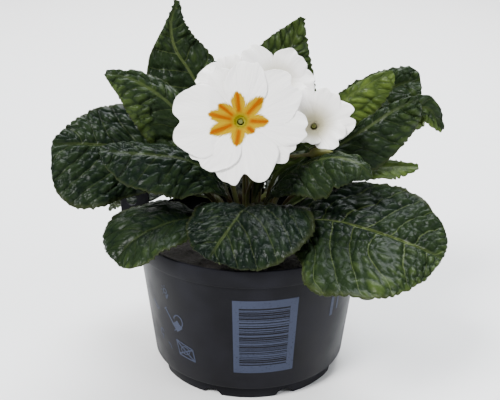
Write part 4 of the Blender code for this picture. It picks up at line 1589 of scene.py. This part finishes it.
@dataclass
class Soil:
    """The peat that fills the pot, lumpy on top, with a well for the crown."""

    top: float = 57.2
    floor: float = 7.3
    floor_radius: float = 42.5
    edge_radius: float = 48.3
    well: float = 13.7
    lump: float = 3.2
    sides: int = 150

    def build(self, finish: bpy.types.Material) -> bpy.types.Object:
        """Make the soil.

        Args:
            finish: the peat.

        Returns:
            The finished piece.
        """
        rings = np.linspace(self.edge_radius - 0.8, self.well, 46)
        profile = [(0.4, self.floor), (self.floor_radius, self.floor), (self.edge_radius, self.top - 1.2)]
        profile += [(radius, self.top) for radius in rings]
        profile += [(self.well, CROWN_BOTTOM - GAP), (0.4, CROWN_BOTTOM - GAP)]
        made = Pot(sides=self.sides).turn("soil_peat", profile)
        places = np.empty(len(made.data.vertices) * 3, np.float32)
        made.data.vertices.foreach_get("co", places)
        places = places.reshape(-1, 3) / MM
        radius = np.hypot(places[:, 0], places[:, 1])
        free = (places[:, 2] > self.top - 0.5) & (radius < self.edge_radius - 1) & (radius > self.well + 0.5)
        lumps = pillows(places[:, 0], places[:, 1], self.lump, 5)
        fine = pillows(places[:, 0], places[:, 1], 1.5, 6)
        uneven = ripple(places[:, 0], places[:, 1], 16, 8)
        places[:, 2] += free * (0.9 * lumps + 0.5 * fine + 0.5 * uneven - 0.8)
        made.data.vertices.foreach_set("co", (places * MM).astype(np.float32).ravel())
        made.data.update()
        made.data.materials.append(finish)
        smooth(made, 50)
        enlist(made, Slot.SOIL, "soil")
        return made


LEAVES = (
    Leaf("leaf_front", Ring.LOW, -98,
         ((-1, -15, 78), (-3, -24, 81), (-7, -35, 79), (-12, -45, 75), (-16, -51, 70.5)),
         ((0, -0.1, 1), (-0.12, -0.3, 0.95), (-0.1, -0.6, 0.75)), 33, 20,
         widest=0.45, tip=0.5, taper=0.6, curl=-22, tone=0.05, tip_tone=0.05, veined=0.3, rows=150,
         columns=81, seed=1),
    Leaf("leaf_front_right", Ring.LOW, -62,
         ((12, -16, 73.5), (24, -21, 76), (36, -27, 77.5), (48, -36, 77.5), (60, -45, 76.5), (69, -50, 74.5),
          (75, -53, 72.5)),
         ((0, -0.2, 1), (0.1, -0.58, 0.8), (0.35, -0.56, 0.75)), 27, 39,
         widest=0.5, widest_right=0.56, tip=0.5, tip_right=0.46, taper=0.75, lobe=2, curl=-12, tone=0.08,
         tip_tone=0.30, right_tone=0.26, veined=0.55, spacing=10.5, sweep=0.36, rows=150, columns=81, seed=2),
    Leaf("leaf_right_lower", Ring.LOW, -26,
         ((17, -6, 77), (30, -4.5, 85.5), (45, -3.5, 91.8), (60, -3, 94), (74, -2.5, 94)),
         ((0, -0.2, 1), (0.1, -0.5, 0.85), (0.1, -0.6, 0.8)), 3.5, 8,
         widest=0.8, tip=1.0, shoulder=1.3, taper=2.2, curl=-10, tone=0.56, tip_tone=0.2, pucker=0.3,
         columns=41, seed=3),
    Leaf("leaf_right_tip", Ring.LOW, 10,
         ((18, 3, 76), (32, 3.5, 87.5), (50, 3.5, 101), (66, 5, 113.5), (77.5, 6, 118), (85, 5, 108.5)),
         ((-0.3, -0.4, 1), (-0.4, -0.8, 0.5), (0.7, -0.7, 0.1)), 6.5, 8,
         widest=0.76, tip=0.8, taper=1.8, curl=-25, tone=0.3, tip_tone=0.1, right_tone=0.6, columns=41,
         seed=4),
    Leaf("leaf_right_back", Ring.LOW, 44,
         ((14, 15, 76), (26, 21, 92), (42, 26, 107), (58, 27, 118.5), (70, 26, 125), (77.5, 25, 126.5)),
         ((-0.5, -0.4, 1), (-0.3, -0.85, 0.4), (-0.2, -0.8, 0.6)), 11.5, 20,
         tip=0.35, curl=-20, tone=0.3, seed=5),
    Leaf("leaf_rear_right", Ring.LOW, 80,
         ((8, 17, 74), (17, 32, 77), (25, 46, 76), (32, 58, 69), (36, 65, 58)),
         ((0, 0, 1), (0.2, 0.3, 0.95), (0.4, 0.7, 0.6)), 21, 21, curl=-35, rows=130, columns=45, seed=6),
    Leaf("leaf_rear", Ring.LOW, 116,
         ((-5, 19, 73), (-10, 34, 75), (-15, 49, 72), (-19, 62, 64), (-22, 73, 54)),
         ((0, 0, 1), (0, 0.35, 0.95), (-0.1, 0.8, 0.6)), 24, 25, curl=-35, rows=130, columns=45, seed=7),
    Leaf("leaf_rear_left", Ring.LOW, 152,
         ((-15, 12, 73), (-30, 21, 74), (-46, 31, 71), (-60, 40, 65), (-68, 45, 56)),
         ((0, 0, 1), (-0.2, 0.2, 0.95), (-0.6, 0.4, 0.7)), 21, 21, curl=-35, rows=130, columns=45, seed=8),
    Leaf("leaf_left", Ring.LOW, -172,
         ((-17, -1, 78), (-28, -2, 89), (-42, -4.5, 97.5), (-56, -7, 103), (-70, -10, 105),
          (-84, -12, 105.5)),
         ((0.3, -0.2, 1), (-0.1, -0.75, 0.65), (-0.4, -0.7, 0.6)), 30, 22,
         widest=0.8, widest_right=0.5, tip=0.28, tip_right=0.9, curl=-18, tone=0.12, tip_tone=0.1,
         veined=0.25, rows=150, columns=81, seed=9),
    Leaf("leaf_front_left", Ring.LOW, -136,
         ((-15, -15, 74), (-27, -24, 77), (-38, -31, 76), (-48, -37, 72), (-55, -41, 65)),
         ((0, 0, 1), (-0.1, -0.35, 0.9), (-0.6, -0.5, 0.6)), 17, 19,
         widest=0.72, tip=0.32, taper=0.8, curl=-15, tone=0.12, tip_tone=0.15, left_tone=0.25, pucker=0.4,
         veined=0.12, seed=10),
    Leaf("leaf_right_inner", Ring.HIGH, -48,
         ((9, -10, 84), (16, -16, 95), (26, -24, 103), (36, -31, 106.5), (44, -37, 105), (48, -39, 101)),
         ((0, -0.3, 1), (0, -0.4, 0.9), (0.3, -0.6, 0.7)), 12, 16.5,
         tip=0.7, taper=0.7, fold=-18, curl=-40, tone=0.25, tip_tone=0.1, left_tone=0.25, seed=11),
    Leaf("leaf_right", Ring.HIGH, -8,
         ((12, -2, 85), (24, -3, 94.5), (37, -4, 103), (50, -5, 112), (61, -6, 120), (70.5, -7, 125)),
         ((-0.4, -0.2, 1), (-0.2, -0.6, 0.75), (0.2, -0.8, 0.5)), 5, 17,
         tip=0.45, fold=-10, curl=-30, tone=0.2, tip_tone=0.15, right_tone=0.1, seed=12),
    Leaf("leaf_right_light", Ring.HIGH, 28,
         ((11, 6, 87), (20, 8, 100), (31, 9, 112), (43, 9, 122), (54, 8, 129.5), (61.5, 6, 133.5)),
         ((-0.5, -0.2, 1), (0, -0.9, 0.4), (0.1, -0.9, 0.4)), 4, 14.5,
         tip=0.6, fold=-12, curl=-4, tone=0.72, tip_tone=0.12, pucker=0.7, seed=13),
    Leaf("leaf_back_right", Ring.HIGH, 64,
         ((5, 13, 88), (7, 19, 105), (10, 23, 121), (15, 26, 135), (20, 28, 146), (23, 28, 154)),
         ((-0.3, -0.8, 0.6), (0, -0.95, 0.3), (0.1, -0.9, 0.4)), 18, 22,
         widest=0.42, tip=1.0, tip_right=1.5, taper=1.6, curl=-12, tone=0.5, seed=14),
    Leaf("leaf_back", Ring.HIGH, 100,
         ((-1, 15, 86), (-3, 28, 97), (-5, 41, 104), (-7, 54, 104), (-9, 63, 98)),
         ((0, -0.5, 1), (0, 0.1, 1), (0, 0.7, 0.8)), 18, 18, curl=-30, rows=130, columns=45, seed=15),
    Leaf("leaf_back_left", Ring.HIGH, 136,
         ((-10, 13, 88), (-15, 19, 104), (-21, 24, 117), (-28, 27, 129), (-35, 29, 140), (-36.5, 29, 151),
          (-33.5, 29, 161)),
         ((0.3, -0.8, 0.6), (0.1, -0.95, 0.3), (0.1, -0.95, 0.3)), 31, 13,
         widest=0.42, tip=4.4, tip_right=1.0, shoulder=3.0, taper=1.3, curl=-10, tone=0.3, veined=0.4,
         seed=16),
    Leaf("leaf_left_upper", Ring.HIGH, 172,
         ((-13, 0, 87), (-20, -3, 102), (-29, -5, 116), (-39, -5, 125.5), (-50, -5, 132), (-61, -5, 135)),
         ((0.4, -0.3, 1), (-0.2, -0.65, 0.7), (-0.4, -0.6, 0.7)), 19, 9,
         widest=0.5, tip=0.9, fold=-12, curl=-25, tone=0.3, tip_tone=0.1, left_tone=0.2, seed=17),
    Leaf("leaf_left_inner", Ring.HIGH, -152,
         ((-11, -8, 84), (-18, -14, 95), (-28, -20, 102), (-40, -26, 105.5), (-51, -30, 107.5),
          (-60, -32, 109)),
         ((0.2, -0.3, 1), (0, -0.55, 0.85), (-0.2, -0.6, 0.8)), 18, 13,
         tip=0.7, taper=0.7, fold=-12, curl=-30, tone=0.14, tip_tone=0.05, veined=0.15, seed=18),
    Leaf("leaf_young", Ring.TOP, -60,
         ((3, -4, 84), (8, -5.5, 95), (16, -8, 101.5), (25, -9, 103.5)),
         ((-0.3, -0.5, 0.8), (0, -0.7, 0.7), (0.2, -0.7, 0.7)), 5, 5,
         tip=0.8, curl=-10, wave=0.4, tone=0.5, pucker=0.3, rows=70, columns=31, seed=19),
)

FLOWERS = (
    Flower("flower_front", 0, 28, 1.5, 180, (-4, -30, 121), (
        Petal(183, 27.5, 31, 0.15, 2.4, 0), Petal(227, 24.5, 22, 0.04, 1.4, 3),
        Petal(275, 26, 29, 0.17, 0.4, 0), Petal(326, 24.5, 18, 0.04, -1.4, 0),
        Petal(353, 27, 18, 0.04, -0.2, 4), Petal(36, 27, 24, 0.08, 0.8, 4),
        Petal(82, 24, 18, 0.04, 1.8, 0), Petal(130, 23, 25, 0.12, 0.2, -3)),
        rays=((46, 0.96), (98, 0.86), (145, 0.82), (171, 0.97), (206, 1.02), (261, 0.80), (358, 0.84),
              (318, 0.55)),
        seed=100, rows=48, columns=45),
    Flower("flower_back_right", 20, 42, 4.0, 60, (11, -1, 131.5), (
        Petal(345, 16.5, 16, 0.06, 0.0, 5), Petal(39, 15.5, 17, 0.06, 1.2, 5),
        Petal(128, 18.5, 17, 0.05, 0.4, 5), Petal(190, 11, 12, 0.08, 1.2, 5),
        Petal(245, 12, 12, 0.08, 0.4, 5), Petal(300, 15, 15, 0.08, 1.2, 5)),
        olive=0.6, seed=300),
    Flower("flower_right", -12, 35, 4.0, 0, (26, -16, 116), (
        Petal(13, 17.5, 18, 0.13, 0.4, 5), Petal(64, 15.5, 15, 0.06, 1.2, 5),
        Petal(118, 16, 15, 0.06, 0.4, 5), Petal(178, 14, 13, 0.08, 1.2, 5),
        Petal(262, 9.5, 13, 0.06, 0.4, 5), Petal(328, 15, 15, 0.10, 1.2, 5)),
        olive=0.8, seed=500),
    Flower("flower_back_left", -35, 50, 3.0, 120, (-8, 2, 129), (
        Petal(20, 11, 12, 0.06, 0.4, 5), Petal(70, 13, 14, 0.06, 1.2, 5),
        Petal(122, 14.5, 15, 0.06, 2.0, 5), Petal(172, 18.5, 18, 0.04, 0.4, 5),
        Petal(235, 12, 13, 0.08, 1.2, 5), Petal(300, 10, 11, 0.08, 0.8, 5)),
        olive=0.5, seed=700),
)


@dataclass(frozen=True)
class Lamp:
    """One soft square lamp: its place, aim and side in metres, its power in watts and its colour."""

    name: str
    place: tuple
    aim: tuple
    size: float
    power: float
    colour: Colour

    def build(self) -> None:
        """Add the lamp."""
        bpy.ops.object.light_add(type="AREA", location=self.place)
        lamp = bpy.context.object
        lamp.name = self.name
        lamp.data.size = self.size
        lamp.data.energy = self.power
        lamp.data.color = self.colour
        lamp.rotation_euler = (Vector(self.aim) - Vector(self.place)).to_track_quat("-Z", "Y").to_euler()


PLANT = (0, 0, 0.09)
LAMPS = (
    Lamp("key", (-0.6, -0.8, 1.15), PLANT, 0.45, 38, (1.0, 1.0, 1.0)),
    Lamp("fill", (0.9, -0.5, 0.6), PLANT, 0.5, 7, (0.94, 0.96, 1.0)),
    Lamp("top", (0.15, 0.4, 1.2), PLANT, 0.7, 20, (0.9, 0.95, 1.0)),
    Lamp("backdrop", (0, 1.6, 1.5), (0, 1.8, 0), 2.0, 90, (1.0, 1.0, 1.0)),
)


@dataclass
class Studio:
    """The floor, the lights and the camera, whose place is in millimetres."""

    camera_place: tuple = (0.0, -338.35, 199.84)
    pitch: float = 0.3493
    roll: float = 0.0085
    focal: float = 57.6
    floor_size: float = 8.0
    floor_colour: Colour = (0.86, 0.86, 0.86)
    floor_shade: Colour = (0.8471, 0.8471, 0.8471)
    world_colour: Colour = (0.95, 0.97, 1.0)
    world_light: float = 0.30

    def floor(self) -> None:
        """Make the plain pale floor."""
        bpy.ops.object.select_all(action="DESELECT")
        bpy.ops.mesh.primitive_plane_add(size=self.floor_size)
        made = bpy.context.object
        made.name = "floor"
        graph, shader = start_material("pale floor", 0.9)
        colour = graph.mix(graph.noise(graph.object_place(), 1.5), self.floor_colour, self.floor_shade)
        graph.feed(shader, {"Base Color": colour})
        made.data.materials.append(finished(graph))

    def light(self) -> None:
        """Light the room evenly, with the lamps over it."""
        world = bpy.data.worlds.new("studio")
        bpy.context.scene.world = world
        world.use_nodes = True
        world.node_tree.nodes["Background"].inputs[0].default_value = (*self.world_colour, 1.0)
        world.node_tree.nodes["Background"].inputs[1].default_value = self.world_light
        for lamp in LAMPS:
            lamp.build()

    def camera(self) -> None:
        """Place the camera as the photograph's was."""
        bpy.ops.object.camera_add()
        camera = bpy.context.object
        pitch, roll = self.pitch, self.roll
        right, up = Vector((1, 0, 0)), Vector((0, sin(pitch), cos(pitch)))
        back = Vector((0, -cos(pitch), sin(pitch)))
        turned_right, turned_up = cos(roll) * right + sin(roll) * up, -sin(roll) * right + cos(roll) * up
        turn = Matrix((turned_right, turned_up, back)).transposed().to_4x4()
        camera.matrix_world = Matrix.Translation(Vector(self.camera_place) * MM) @ turn
        camera.data.lens = self.focal
        camera.data.sensor_width = 36.0
        bpy.context.scene.camera = camera

    def build(self) -> None:
        """Set the whole studio up."""
        self.floor()
        self.light()
        self.camera()


def main() -> None:
    """Build every piece in order."""
    logging.basicConfig(level=logging.INFO, format="%(name)s %(message)s", stream=sys.stdout)
    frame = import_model()
    studio = Studio()
    studio.build()
    vein_group()
    grain_group()
    pot = Pot()
    plastic = PlasticFinish().material()
    pot.body(plastic)
    pot.prints(PrintFinish().material())
    peat = PeatFinish().material()
    Soil().build(peat)
    stalk = StalkFinish().material()
    crown = frame["nodes"]["crown"]
    crown.data.materials.clear()
    crown.data.materials.append(stalk)
    upper, under = LeafFinish().upper(), LeafFinish().under()
    for leaf in LEAVES:
        leaf.build(upper, under)
    white = PetalFinish().material()
    for flower in FLOWERS:
        flower.corolla(white)
        flower.stem(stalk)
    Bud().build(stalk)
    LOG.info("built round %d nodes", len(frame["nodes"]))


if __name__ == "__main__":
    main()
